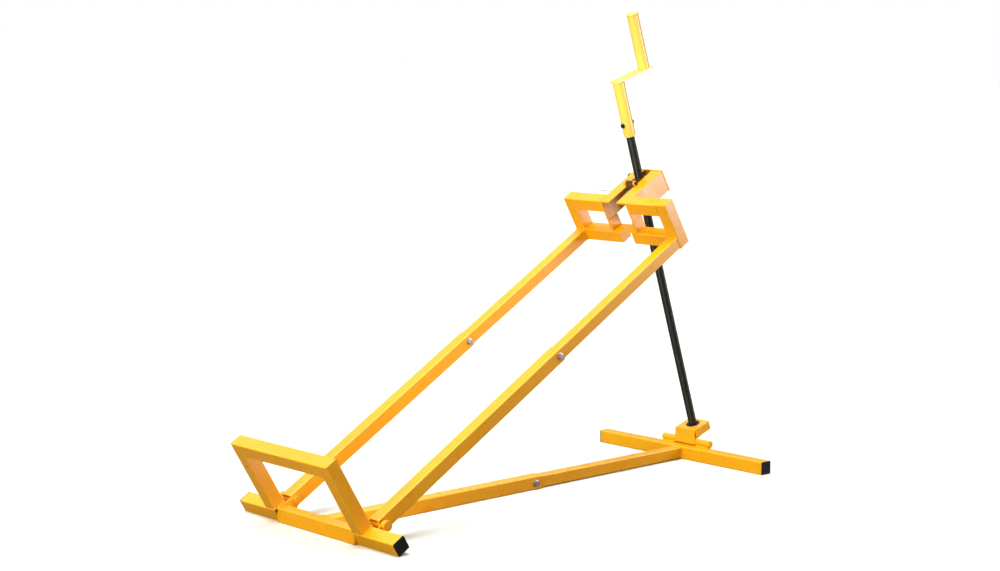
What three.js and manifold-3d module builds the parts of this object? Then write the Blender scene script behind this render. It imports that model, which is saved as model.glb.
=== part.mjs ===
import * as THREE from 'three';
import { mergeVertices } from 'three/addons/utils/BufferGeometryUtils.js';
import Module from 'manifold-3d';

const wasm = await Module();
wasm.setup();

// Lawn mower lift. Lengths in millimetres, +Z up, +X from the rear cross tube to the front foot.
// The whole part is three frames: the level base, the arm that is swung up from it about the rear
// hinge, and the spindle frame that leans on the front hinge. The arm and the spindle meet at the nut.

// Overall angles
const ARM_ANGLE = 30.4;
const NUT_ANGLE = 5.6;

// Square tube and the smaller tube that slides into it
const TUBE = 40;
const WALL = 2;
const TUBE_ROUND = 3;
const GAP = 0.3;
const INSERT = TUBE - 2 * WALL - 2 * GAP;
const INSERT_DEPTH = 90;
const HALF_TUBE = TUBE / 2;

// Base
const CROSS_HALF = 165;
const BEAM_SEAM = 820;
const BEAM_BOLT = BEAM_SEAM - 29;
const FOOT_X = 1428;
const FOOT_HALF = 341;
const CAP_THICK = 3;
const CAP_DEPTH = 18;

// Rear hinge
const HINGE_BACK = 70;
const ARM_FOOT_X = 12;
const ARM_FOOT_Z = -0.9;
const REAR_LUG = 5;
const REAR_LUG_R = 14;
const REAR_LUG_FLOOR = 2;
const REAR_PIN_R = 7;
const REAR_BARREL_R = 15;
const REAR_HEAD_OUT = 232;
const REAR_RING = 3;
const REAR_RING_R = 11;
const RUN_CLEAR = 0.09;

// Arm and stop
const ARM_INNER = 171.5;
const ARM_START = 62;
const ARM_SEAM = 824;
const ARM_BOLT = ARM_SEAM - 13;
const NUT_INSET = 95.016571;
const NUT_ABOVE = 7.566978;
const SPLIT_HALF = 25;
const PLATE_INNER = 45;
const BRIDGE_THICK = 3;
const STOP_TOP = 266;
const STUB_OUT = 338;
const STOP_LUG = 5;
const STOP_LUG_R = 12;

// Channel at the head
const CHANNEL_OUT = 55;
const CHANNEL_WALL = 6;
const CHANNEL_HEIGHT = 70;
const CHANNEL_LENGTH = 180;
const SLOT_HALF = 15;
const FRONT_PLATE = 4;
const SCREW_BACK = 24;
const SCREW_UNDER = 11;
const SCREW_R = 4;
const SCREW_HEAD_R = 9.5;

// Front hinge
const HINGE_AHEAD = 4;
const FRONT_BARREL_R = 11;
const FRONT_PIN_R = 5;
const BRACKET_HALF = 41;
const BARREL_IN = 42;
const BARREL_OUT = 98;
const FOOT_PIN_HEAD = 1.2;
const FOOT_PIN_HEAD_R = 8;
const BRACKET_PLATE = [[-14.3, -2], [1.5, 40], [4.7, 40], [-11, -2]];
const BLOCK_P = [5, 73];
const BLOCK_S = [12, 40];
const RACE_R = 21.5;
const RACE_S = 27;

// Spindle and nut
const OFFSET = 40;
const SPINDLE_R = 13.2;
const SPINDLE_LOW = -8;
const SPINDLE_RISE = 278.72985;
const LOCK_NUT = [-3, 11.7];
const LOCK_NUT_FLATS = 36;
const NUT_P = [20, 60];
const NUT_S = [-50, -20];
const NUT_HALF = 22;
const LINK_HALF = 13;
const NUT_LINK = [[-7.5, 0], [-7.5, -12], [22, -50], [22, -20], [7.5, 0]];
const PRONG_P = [22, 58];
const PRONG_TOP = 2.5;
const NUT_BARREL_R = 7.5;
const NUT_LUG = 6;
const NUT_LUG_R = 8;
const NUT_PIN_HALF = 25;
const NUT_PIN_HEAD = 3;
const NUT_PIN_HEAD_R = 5.5;
const NUT_PIN_R = 4;

// Crank
const SOCKET_RISE = [136.72985, 308.12985];
const SOCKET_R = 18;
const CRANK_BOLT_RISE = 175.22985;
const CRANK_BOLT_R = 4;
const CRANK_BAR_THICK = 4;
const CRANK_BAR_WIDTH = 42;
const CRANK_THROW = 118;
const CRANK_BAR_BACK = 17;
const CRANK_BAR_END = 20;
const GRIP_R = 17.2;
const GRIP_RISE = 478.72985;
const GRIP_PIN_R = 6;
const GRIP_CAP = 5;
const GRIP_CAP_R = 18.4;
const GRIP_NUT_R = 8;
const GRIP_NUT = 2;

// Bolts and small wire
const BOLT_R = 5;
const BOLT_FLATS = 17;
const BOLT_HEAD = 6.4;
const BOLT_NUT = 8;
const BOLT_TAIL = 3;
const CRANK_BOLT_FLATS = 13;
const CRANK_BOLT_HEAD = 5.5;
const LOCK_PIN_AHEAD = 62;
const LOCK_PIN_UNDER = 13;
const LOCK_PIN_R = 4;
const LOCK_PIN_IN = 44;
const LOCK_PIN_OUT = 66;
const LOCK_HEAD = [57, 60];
const LOCK_HEAD_R = 6.5;
const RING_FAR = 128;
const RING_HALF = 12;
const RING_WIRE = 1.25;

const ROUND_SEGMENTS = 32;
const CORNER_SEGMENTS = 3;
const MARGIN = 5;

const SIDES = [{ name: 'left', sign: 1 }, { name: 'right', sign: -1 }];

// Materials
function paint(name, color, roughness, metalness) {
  return () => new THREE.MeshStandardMaterial({ name, color, roughness, metalness });
}

const yellow = paint('yellow_paint', 0xf7b91a, 0.38, 0.05);
const black = paint('black_plastic', 0x141414, 0.55, 0);
const zinc = paint('zinc_steel', 0xc9ccd0, 0.32, 0.9);
const darkSteel = paint('dark_steel', 0x2b2a2b, 0.42, 0.8);

// Placed geometry from flat outlines: an outline in the two cross axes, drawn out along the third
const ALONG_X = new THREE.Matrix4().makeBasis(
  new THREE.Vector3(0, 1, 0), new THREE.Vector3(0, 0, 1), new THREE.Vector3(1, 0, 0));
const ALONG_Y = new THREE.Matrix4().makeBasis(
  new THREE.Vector3(1, 0, 0), new THREE.Vector3(0, 0, 1), new THREE.Vector3(0, -1, 0));

function drawn(shape, from, to) {
  const options = { depth: to - from, bevelEnabled: false, curveSegments: CORNER_SEGMENTS };
  return new THREE.ExtrudeGeometry(shape, options);
}

function barX(shape, from, to) {
  return drawn(shape, from, to).applyMatrix4(ALONG_X).translate(from, 0, 0);
}

function barY(shape, from, to) {
  return drawn(shape, from, to).applyMatrix4(ALONG_Y).translate(0, to, 0);
}

function barZ(shape, from, to) {
  return drawn(shape, from, to).translate(0, 0, from);
}

// Outlines
function outline(points) {
  return new THREE.Shape(points.map(([u, v]) => new THREE.Vector2(u, v)));
}

function rectangle([u0, u1], [v0, v1]) {
  return outline([[u0, v0], [u1, v0], [u1, v1], [u0, v1]]);
}

function roundedSquare(path, u, v, size, round) {
  const half = size / 2;
  const inner = half - round;
  path.moveTo(u + half, v - inner);
  path.lineTo(u + half, v + inner);
  path.absarc(u + inner, v + inner, round, 0, Math.PI / 2);
  path.lineTo(u - inner, v + half);
  path.absarc(u - inner, v + inner, round, Math.PI / 2, Math.PI);
  path.lineTo(u - half, v - inner);
  path.absarc(u - inner, v - inner, round, Math.PI, 3 * Math.PI / 2);
  path.lineTo(u + inner, v - half);
  path.absarc(u + inner, v - inner, round, 3 * Math.PI / 2, 2 * Math.PI);
  return path;
}

function squareSolid(u, v, size, round = TUBE_ROUND) {
  return roundedSquare(new THREE.Shape(), u, v, size, round);
}

function squareTube(u, v, size = TUBE) {
  const shape = squareSolid(u, v, size);
  shape.holes.push(roundedSquare(new THREE.Path(), u, v, size - 2 * WALL, TUBE_ROUND - WALL));
  return shape;
}

function hexagon(u, v, flats) {
  const radius = flats / Math.sqrt(3);
  const corners = [0, 1, 2, 3, 4, 5].map((step) => step * Math.PI / 3);
  return outline(corners.map((turn) => [u + radius * Math.cos(turn), v + radius * Math.sin(turn)]));
}

function arcPoints(u, v, radius, from, to, steps) {
  const turns = Array.from({ length: steps + 1 }, (_, step) => from + (to - from) * step / steps);
  return turns.map((turn) => [u + radius * Math.cos(turn), v + radius * Math.sin(turn)]);
}

// Turned pieces: pairs of radius and height, spun about the height axis
function turned(points) {
  const profile = points.map(([radius, height]) => new THREE.Vector2(radius, height));
  return new THREE.LatheGeometry(profile, ROUND_SEGMENTS);
}

function turnedY(points, x, z) {
  return turned(points).translate(x, 0, z);
}

function turnedZ(points, x) {
  return turned(points).rotateX(Math.PI / 2).translate(x, 0, 0);
}

function rod(radius, from, to) {
  return [[0, from], [radius, from], [radius, to], [0, to]];
}

function pipe(outer, inner, from, to) {
  return [[inner, from], [outer, from], [outer, to], [inner, to], [inner, from]];
}

// Solids for cutting and joining
function volume(geometry) {
  const at = geometry.getAttribute('position');
  const order = geometry.getIndex().array;
  const corner = [new THREE.Vector3(), new THREE.Vector3(), new THREE.Vector3()];
  let sum = 0;
  for (let face = 0; face < order.length; face += 3) {
    corner.forEach((point, step) => point.fromBufferAttribute(at, order[face + step]));
    sum += corner[0].dot(corner[1].clone().cross(corner[2]));
  }
  return sum;
}

function joinedVertices(geometry) {
  const bare = geometry.clone();
  bare.deleteAttribute('normal');
  bare.deleteAttribute('uv');
  const merged = mergeVertices(bare, 0.0001);
  if (volume(merged) < 0) merged.setIndex(Array.from(merged.getIndex().array).reverse());
  return merged;
}

function solid(geometry) {
  const merged = joinedVertices(geometry);
  const vertProperties = Float32Array.from(merged.getAttribute('position').array);
  const triVerts = Uint32Array.from(merged.getIndex().array);
  return new wasm.Manifold(new wasm.Mesh({ numProp: 3, vertProperties, triVerts }));
}

function geometryOf(body) {
  const mesh = body.getMesh();
  const geometry = new THREE.BufferGeometry();
  geometry.setAttribute('position', new THREE.BufferAttribute(mesh.vertProperties, mesh.numProp));
  geometry.setIndex(new THREE.BufferAttribute(mesh.triVerts, 1));
  return geometry;
}

function cut(base, tools) {
  return geometryOf(tools.reduce((body, tool) => body.subtract(solid(tool)), solid(base)));
}

function joined(pieces) {
  return geometryOf(pieces.map(solid).reduce((body, piece) => body.add(piece)));
}

function addMesh(group, name, geometry, material) {
  const clean = joinedVertices(geometry);
  const mesh = new THREE.Mesh(clean.toNonIndexed(), material());
  mesh.geometry.computeVertexNormals();
  mesh.name = name;
  group.add(mesh);
}

// A run of the Y axis on one side, ordered from low to high
function sideRun(sign, near, far) {
  return sign > 0 ? [near, far] : [-far, -near];
}

// A hole drill along Y through the point (x, z)
function drillY(x, z, radius, from, to) {
  return turnedY(rod(radius, from, to), x, z);
}

// Bolt with its nut, along Y: head on the low side
function boltY(x, z, from, to) {
  const low = from - GAP;
  const high = to + GAP;
  return joined([
    barY(hexagon(x, z, BOLT_FLATS), low - BOLT_HEAD, low),
    turnedY(rod(BOLT_R, low - BOLT_HEAD / 2, high + BOLT_NUT + BOLT_TAIL), x, z),
    barY(hexagon(x, z, BOLT_FLATS), high, high + BOLT_NUT),
  ]);
}

// Derived places
const tilt = THREE.MathUtils.degToRad(ARM_ANGLE);
const lean = THREE.MathUtils.degToRad((ARM_ANGLE + NUT_ANGLE) / 2);
const nutRise = THREE.MathUtils.degToRad(NUT_ANGLE);
const HINGE_X = ARM_FOOT_X + HINGE_BACK * Math.cos(tilt) - HALF_TUBE * Math.sin(tilt);
const HINGE_Z = ARM_FOOT_Z + HINGE_BACK * Math.sin(tilt) + HALF_TUBE * Math.cos(tilt);
const FRONT_HINGE_X = FOOT_X + TUBE + HINGE_AHEAD;
const REACH = FRONT_HINGE_X - HINGE_X;
const NUT_X = HINGE_BACK + REACH * Math.cos(nutRise);
const NUT_Z = HALF_TUBE + REACH * Math.sin(nutRise);
const HEAD_X = NUT_X - NUT_INSET;
const HEAD_TOP = NUT_Z - NUT_ABOVE;
const CHANNEL_LOW = HEAD_TOP - CHANNEL_HEIGHT;
const CHANNEL_END = HEAD_X + CHANNEL_LENGTH;
const SCREW_X = CHANNEL_END - SCREW_BACK;
const SCREW_Z = HEAD_TOP - SCREW_UNDER;
const LOCK_PIN_X = HEAD_X + LOCK_PIN_AHEAD;
const LOCK_PIN_Z = HEAD_TOP - LOCK_PIN_UNDER;
const NUT_CLIMB = 2 * REACH * Math.sin(lean);
const SPINDLE_TOP = NUT_CLIMB + SPINDLE_RISE;
const SOCKET_S = SOCKET_RISE.map((rise) => NUT_CLIMB + rise);
const CRANK_BOLT_S = NUT_CLIMB + CRANK_BOLT_RISE;
const GRIP_TOP = NUT_CLIMB + GRIP_RISE;
const ARM_MIDDLE = ARM_INNER + HALF_TUBE;
const ARM_OUTER = ARM_INNER + TUBE;

// Base: rear cross tube with the two hinge lugs
function rearCross(base) {
  const profile = squareTube(HALF_TUBE, HALF_TUBE);
  addMesh(base, 'rear_cross_tube', barY(profile, -CROSS_HALF, CROSS_HALF), yellow);
  for (const { name, sign } of SIDES) {
    const near = CROSS_HALF + GAP;
    const [from, to] = sideRun(sign, near, near + REAR_LUG);
    const corner = [[0, REAR_LUG_FLOOR], [TUBE, REAR_LUG_FLOOR]];
    const boss = arcPoints(HINGE_X, HINGE_Z, REAR_LUG_R, -Math.PI / 4, 2 * Math.PI / 3, 12);
    const plate = barY(outline([...corner, ...boss, [0, TUBE]]), from, to);
    const hole = drillY(HINGE_X, HINGE_Z, REAR_PIN_R + GAP, from - MARGIN, to + MARGIN);
    addMesh(base, `rear_lug_${name}`, cut(plate, [hole]), yellow);
    addMesh(base, `rear_pin_${name}`, rearPin(sign, near), yellow);
  }
}

// Rear hinge pin: ring inside the lug, shank, and round head outside the stop's lug
function rearPin(sign, lugFace) {
  const ringTo = lugFace - GAP;
  const headFrom = ARM_OUTER + 1 + STOP_LUG + 1;
  const profile = [
    [0, ringTo - REAR_RING], [REAR_RING_R, ringTo - REAR_RING], [REAR_RING_R, ringTo],
    [REAR_PIN_R, ringTo], [REAR_PIN_R, headFrom], [REAR_BARREL_R, headFrom],
    [REAR_BARREL_R, REAR_HEAD_OUT], [0, REAR_HEAD_OUT],
  ];
  const along = profile.map(([radius, height]) => [radius, sign * height]);
  return turnedY(along, HINGE_X, HINGE_Z);
}

// Base: long beam in two lengths, the front one slid into the rear one
function beam(base) {
  const rear = squareTube(0, HALF_TUBE);
  const front = squareTube(0, HALF_TUBE, INSERT);
  const reach = HALF_TUBE + MARGIN;
  const hole = drillY(BEAM_BOLT, HALF_TUBE, BOLT_R + GAP, -reach, reach);
  addMesh(base, 'base_beam_rear', cut(barX(rear, TUBE + GAP, BEAM_SEAM), [hole]), yellow);
  const frontBar = barX(front, BEAM_SEAM - INSERT_DEPTH, FOOT_X - GAP);
  addMesh(base, 'base_beam_front', cut(frontBar, [hole]), yellow);
  addMesh(base, 'base_beam_bolt', boltY(BEAM_BOLT, HALF_TUBE, -HALF_TUBE, HALF_TUBE), zinc);
}

// End plug for a square tube along Y: plate outside, plug inside
function endCap(x, z, sign, end) {
  const [plateFrom, plateTo] = sideRun(sign, end, end + CAP_THICK);
  const [plugFrom, plugTo] = sideRun(sign, end - CAP_DEPTH, end + CAP_THICK / 2);
  return joined([
    barY(squareSolid(x, z, TUBE), plateFrom, plateTo),
    barY(squareSolid(x, z, INSERT), plugFrom, plugTo),
  ]);
}

// Base: front foot tube, its caps and the two fixed hinge barrels with the pin
function frontFoot(base) {
  const x = FOOT_X + HALF_TUBE;
  const profile = squareTube(x, HALF_TUBE);
  addMesh(base, 'front_foot_tube', barY(profile, -FOOT_HALF + GAP, FOOT_HALF - GAP), yellow);
  for (const { name, sign } of SIDES) {
    addMesh(base, `front_foot_cap_${name}`, endCap(x, HALF_TUBE, sign, FOOT_HALF), black);
    const [from, to] = sideRun(sign, BARREL_IN, BARREL_OUT);
    const barrel = pipe(FRONT_BARREL_R, FRONT_PIN_R + GAP, from, to);
    addMesh(base, `foot_barrel_${name}`, turnedY(barrel, FRONT_HINGE_X, HINGE_Z), yellow);
  }
  const end = BARREL_OUT + GAP;
  const head = end + FOOT_PIN_HEAD;
  const pin = [
    [0, -head], [FOOT_PIN_HEAD_R, -head], [FOOT_PIN_HEAD_R, -end], [FRONT_PIN_R, -end],
    [FRONT_PIN_R, end], [FOOT_PIN_HEAD_R, end], [FOOT_PIN_HEAD_R, head], [0, head],
  ];
  addMesh(base, 'foot_hinge_pin', turnedY(pin, FRONT_HINGE_X, HINGE_Z), yellow);
}

// Arm: one side's two tube lengths, their bolt and the hinge barrel
function armSide(arm, name, sign) {
  const [low, high] = sideRun(sign, ARM_INNER, ARM_OUTER);
  const middle = sign * ARM_MIDDLE;
  const seat = drillY(HINGE_BACK, HALF_TUBE, REAR_BARREL_R + GAP, low - MARGIN, high + MARGIN);
  const hole = drillY(ARM_BOLT, HALF_TUBE, BOLT_R + GAP, low - MARGIN, high + MARGIN);
  const lower = cut(barX(squareTube(middle, HALF_TUBE), ARM_START, ARM_SEAM), [seat, hole]);
  addMesh(arm, `arm_tube_lower_${name}`, lower, yellow);
  const upperBar = barX(squareTube(middle, HALF_TUBE, INSERT), ARM_SEAM - INSERT_DEPTH, HEAD_X - GAP);
  addMesh(arm, `arm_tube_upper_${name}`, cut(upperBar, [hole]), yellow);
  addMesh(arm, `arm_bolt_${name}`, boltY(ARM_BOLT, HALF_TUBE, low, high), zinc);
  const barrel = pipe(REAR_BARREL_R, REAR_PIN_R + RUN_CLEAR, low, high);
  addMesh(arm, `arm_barrel_${name}`, turnedY(barrel, HINGE_BACK, HALF_TUBE), yellow);
}

// Arm: one half of the head frame
function headSide(arm, name, sign) {
  const x = HEAD_X + HALF_TUBE;
  const middle = sign * ARM_MIDDLE;
  const post = barZ(squareSolid(x, middle, TUBE), 0, HEAD_TOP);
  const hollow = squareSolid(x, middle, TUBE - 2 * WALL, TUBE_ROUND - WALL);
  addMesh(arm, `head_post_${name}`, cut(post, [barZ(hollow, -MARGIN, HEAD_TOP - WALL)]), yellow);
  const [topFrom, topTo] = sideRun(sign, CHANNEL_OUT + GAP, ARM_INNER - GAP);
  const topBar = barY(squareTube(x, HEAD_TOP - HALF_TUBE), topFrom, topTo);
  addMesh(arm, `head_top_bar_${name}`, topBar, yellow);
  const [lowFrom, lowTo] = sideRun(sign, SPLIT_HALF, ARM_INNER - GAP);
  const [coreFrom, coreTo] = sideRun(sign, SPLIT_HALF + WALL, ARM_INNER + MARGIN);
  const lowBar = barY(squareSolid(x, HALF_TUBE, TUBE), lowFrom, lowTo);
  const core = squareSolid(x, HALF_TUBE, TUBE - 2 * WALL, TUBE_ROUND - WALL);
  addMesh(arm, `head_low_bar_${name}`, cut(lowBar, [barY(core, coreFrom, coreTo)]), yellow);
  const [plateFrom, plateTo] = sideRun(sign, PLATE_INNER, CHANNEL_OUT);
  const plate = rectangle([HEAD_X, HEAD_X + TUBE], [TUBE + GAP, CHANNEL_LOW - GAP]);
  addMesh(arm, `head_inner_plate_${name}`, barY(plate, plateFrom, plateTo), yellow);
}

// Arm: one of the two facing channel profiles that guide the nut
function channelSide(arm, name, sign) {
  const inner = CHANNEL_OUT - CHANNEL_WALL;
  const high = HEAD_TOP - CHANNEL_WALL;
  const points = [
    [inner, CHANNEL_LOW], [CHANNEL_OUT, CHANNEL_LOW], [CHANNEL_OUT, HEAD_TOP],
    [SLOT_HALF, HEAD_TOP], [SLOT_HALF, high], [inner, high],
  ];
  const profile = outline(points.map(([u, v]) => [sign * u, v]));
  const tools = [];
  if (sign > 0) {
    const from = inner - MARGIN;
    const to = CHANNEL_OUT + MARGIN;
    tools.push(drillY(SCREW_X, SCREW_Z, SCREW_R + GAP, from, to));
    tools.push(drillY(LOCK_PIN_X, LOCK_PIN_Z, LOCK_PIN_R + GAP, from, to));
  }
  const bar = barX(profile, HEAD_X, CHANNEL_END - GAP);
  addMesh(arm, `channel_${name}`, cut(bar, tools), yellow);
  const [from, to] = sideRun(sign, SLOT_HALF, SLOT_HALF + NUT_LUG);
  const foot = [[NUT_X - NUT_LUG_R, HEAD_TOP + GAP], [NUT_X + NUT_LUG_R, HEAD_TOP + GAP]];
  const round = arcPoints(NUT_X, NUT_Z, NUT_LUG_R, 0, Math.PI, 12);
  const lug = barY(outline([...foot, ...round]), from, to);
  const hole = drillY(NUT_X, NUT_Z, NUT_PIN_R + GAP, from - MARGIN, to + MARGIN);
  addMesh(arm, `nut_lug_${name}`, cut(lug, [hole]), yellow);
}

// Arm: bridge plate, front plate, stop screw, nut pivot pin, locking pin and its wire ring
function headFittings(arm) {
  const bridgeHalf = PLATE_INNER - GAP;
  const bridgeLow = TUBE + GAP;
  const bridge = rectangle([-bridgeHalf, bridgeHalf], [bridgeLow, bridgeLow + BRIDGE_THICK]);
  addMesh(arm, 'head_bridge_plate', barX(bridge, HEAD_X, HEAD_X + TUBE), yellow);
  const face = rectangle([-CHANNEL_OUT, CHANNEL_OUT], [CHANNEL_LOW, HEAD_TOP]);
  addMesh(arm, 'channel_front_plate', barX(face, CHANNEL_END, CHANNEL_END + FRONT_PLATE), yellow);
  const screwFace = CHANNEL_OUT + GAP;
  const screwEnd = screwFace + SCREW_HEAD_R;
  const screw = [
    [0, PLATE_INNER - MARGIN], [SCREW_R, PLATE_INNER - MARGIN], [SCREW_R, screwFace],
    [SCREW_HEAD_R, screwFace], [SCREW_HEAD_R, screwEnd], [0, screwEnd],
  ];
  addMesh(arm, 'channel_screw', turnedY(screw, SCREW_X, SCREW_Z), darkSteel);
  const neck = SLOT_HALF + NUT_LUG + GAP;
  const end = neck + NUT_PIN_HEAD;
  const pin = [
    [0, -end], [NUT_PIN_HEAD_R, -end], [NUT_PIN_HEAD_R, -neck], [NUT_PIN_R, -neck],
    [NUT_PIN_R, neck], [NUT_PIN_HEAD_R, neck], [NUT_PIN_HEAD_R, end], [0, end],
  ];
  addMesh(arm, 'nut_pin', turnedY(pin, NUT_X, NUT_Z), darkSteel);
  const [headFrom, headTo] = LOCK_HEAD;
  const lock = [
    [0, LOCK_PIN_IN], [LOCK_PIN_R, LOCK_PIN_IN], [LOCK_PIN_R, headFrom], [LOCK_HEAD_R, headFrom],
    [LOCK_HEAD_R, headTo], [LOCK_PIN_R, headTo], [LOCK_PIN_R, LOCK_PIN_OUT], [0, LOCK_PIN_OUT],
  ];
  addMesh(arm, 'lock_pin', turnedY(lock, LOCK_PIN_X, LOCK_PIN_Z), zinc);
  addMesh(arm, 'lock_pin_ring', wireRing(), zinc);
}

// Long wire loop in the plane of the arm, beyond the end of the locking pin
function wireRing() {
  const near = LOCK_PIN_OUT + RING_WIRE + GAP + RING_HALF;
  const far = RING_FAR - RING_HALF;
  const outer = arcPoints(LOCK_PIN_X, far, RING_HALF, 0, Math.PI, 8);
  const inner = arcPoints(LOCK_PIN_X, near, RING_HALF, Math.PI, 2 * Math.PI, 8);
  const points = [...outer, ...inner].map(([x, y]) => new THREE.Vector3(x, y, LOCK_PIN_Z));
  const path = new THREE.CatmullRomCurve3(points, true, 'centripetal');
  return new THREE.TubeGeometry(path, 36, RING_WIRE, 8, true);
}

// Stop: the upright frame across the arm's foot, folding about the rear hinge
function stopFrame(stop) {
  const half = HALF_TUBE;
  const top = barY(squareTube(half, STOP_TOP - half), -ARM_OUTER, ARM_OUTER);
  const corners = SIDES.map(({ sign }) => mitreCut(sign, STOP_TOP - 2 * TUBE, 0));
  addMesh(stop, 'stop_top_bar', cut(top, corners), yellow);
  for (const { name, sign } of SIDES) {
    const middle = sign * ARM_MIDDLE;
    const leg = barZ(squareTube(half, middle), TUBE + GAP, STOP_TOP);
    const corner = mitreCut(sign, STOP_TOP + MARGIN, GAP * Math.SQRT2);
    addMesh(stop, `stop_leg_${name}`, cut(leg, [corner]), yellow);
    const [from, to] = sideRun(sign, ARM_INNER, STUB_OUT - CAP_THICK - GAP);
    addMesh(stop, `stop_stub_${name}`, barY(squareTube(half, half), from, to), yellow);
    const cap = endCap(half, half, sign, STUB_OUT - CAP_THICK);
    addMesh(stop, `stop_cap_${name}`, cap, black);
    addMesh(stop, `stop_lug_${name}`, stopLug(sign), yellow);
  }
}

// Wedge that ends at the corner's 45 degree seam: above the seam for a leg, below it for the top bar
function mitreCut(sign, level, drop) {
  const inner = ARM_INNER - MARGIN;
  const outer = ARM_OUTER + MARGIN;
  const seam = STOP_TOP - ARM_OUTER - drop;
  const points = [[inner, inner + seam], [outer, outer + seam], [outer, level], [inner, level]];
  const wedge = points.map(([y, z]) => [sign * y, z]);
  return barX(outline(wedge), -MARGIN, TUBE + MARGIN);
}

// Plate from the stub's rear face to the hinge pin, outside the arm tube
function stopLug(sign) {
  const [from, to] = sideRun(sign, ARM_OUTER + 1, ARM_OUTER + 1 + STOP_LUG);
  const low = HALF_TUBE - STOP_LUG_R;
  const foot = [[TUBE + GAP, HALF_TUBE + 1], [TUBE + GAP, low]];
  const boss = arcPoints(HINGE_BACK, HALF_TUBE, STOP_LUG_R, -Math.PI / 2, 5 * Math.PI / 8, 12);
  const plate = barY(outline([...foot, ...boss]), from, to);
  const radius = REAR_PIN_R + RUN_CLEAR;
  return cut(plate, [drillY(HINGE_BACK, HALF_TUBE, radius, from - MARGIN, to + MARGIN)]);
}

// Foot bracket: hinge barrel with its plate, and the block that carries the spindle
function footBracket(bracket) {
  const barrel = pipe(FRONT_BARREL_R, FRONT_PIN_R + RUN_CLEAR, -BRACKET_HALF, BRACKET_HALF);
  const plate = barY(outline(BRACKET_PLATE), -BRACKET_HALF, BRACKET_HALF);
  const bore = drillY(0, 0, FRONT_PIN_R + RUN_CLEAR, -BRACKET_HALF - 1, BRACKET_HALF + 1);
  const shell = joined([turnedY(barrel, 0, 0), cut(plate, [bore])]);
  addMesh(bracket, 'foot_bracket', shell, yellow);
  const block = barY(rectangle(BLOCK_P, BLOCK_S), -BRACKET_HALF, BRACKET_HALF);
  const [low, high] = BLOCK_S;
  const hole = turnedZ(rod(SPINDLE_R + RUN_CLEAR, low - MARGIN, high + MARGIN), OFFSET);
  const seat = turnedZ(rod(RACE_R + GAP, RACE_S, high + MARGIN), OFFSET);
  addMesh(bracket, 'bearing_block', cut(block, [hole, seat]), yellow);
  const race = pipe(RACE_R, SPINDLE_R + RUN_CLEAR, RACE_S + GAP, high - GAP);
  addMesh(bracket, 'thrust_bearing', turnedZ(race, OFFSET), darkSteel);
}

// Nut with its link and pivot barrel
function nut(carrier) {
  const block = barY(rectangle(NUT_P, NUT_S), -NUT_HALF, NUT_HALF);
  const link = barY(outline(NUT_LINK), -LINK_HALF, LINK_HALF);
  const barrel = turnedY(rod(NUT_BARREL_R, -LINK_HALF, LINK_HALF), 0, 0);
  const [low, seat] = NUT_S;
  const high = PRONG_TOP;
  const prongs = barY(rectangle(PRONG_P, [(low + seat) / 2, high]), -LINK_HALF, LINK_HALF);
  const body = joined([block, link, barrel, prongs]);
  const pivot = drillY(0, 0, NUT_PIN_R + RUN_CLEAR, -NUT_HALF - MARGIN, NUT_HALF + MARGIN);
  const thread = turnedZ(rod(SPINDLE_R + GAP, low - MARGIN, high + MARGIN), OFFSET);
  addMesh(carrier, 'nut_block', cut(body, [pivot, thread]), darkSteel);
}

// Spindle with its lock nut, socket, crank bar and the rod inside the grip
function spindle(turner) {
  const drill = crankDrill();
  const screw = turnedZ(rod(SPINDLE_R, SPINDLE_LOW, SPINDLE_TOP), OFFSET);
  addMesh(turner, 'spindle', cut(screw, [drill]), darkSteel);
  const [nutLow, nutHigh] = LOCK_NUT;
  const hex = barZ(hexagon(OFFSET, 0, LOCK_NUT_FLATS), nutLow, nutHigh);
  const core = turnedZ(rod(SPINDLE_R + GAP, nutLow - MARGIN, nutHigh + MARGIN), OFFSET);
  addMesh(turner, 'spindle_lock_nut', cut(hex, [core]), darkSteel);
  const [low, high] = SOCKET_S;
  const socket = turnedZ(pipe(SOCKET_R, SPINDLE_R + GAP, low, high), OFFSET);
  addMesh(turner, 'crank_socket', cut(socket, [drill]), yellow);
  addMesh(turner, 'crank_bolt', crankBolt(), darkSteel);
  crankBar(turner, high + GAP);
}

function crankDrill() {
  const reach = SOCKET_R + MARGIN;
  const hole = turned(rod(CRANK_BOLT_R + GAP, -reach, reach));
  return hole.rotateZ(Math.PI / 2).translate(OFFSET, 0, CRANK_BOLT_S);
}

function crankBolt() {
  const low = -SOCKET_R - GAP;
  const high = SOCKET_R + GAP;
  const shank = turned(rod(CRANK_BOLT_R, low - CRANK_BOLT_HEAD / 2, high + BOLT_NUT));
  return joined([
    barX(hexagon(0, 0, CRANK_BOLT_FLATS), low - CRANK_BOLT_HEAD, low),
    shank.rotateZ(-Math.PI / 2),
    barX(hexagon(0, 0, CRANK_BOLT_FLATS), high, high + CRANK_BOLT_HEAD),
  ]).translate(OFFSET, 0, CRANK_BOLT_S);
}

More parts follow.
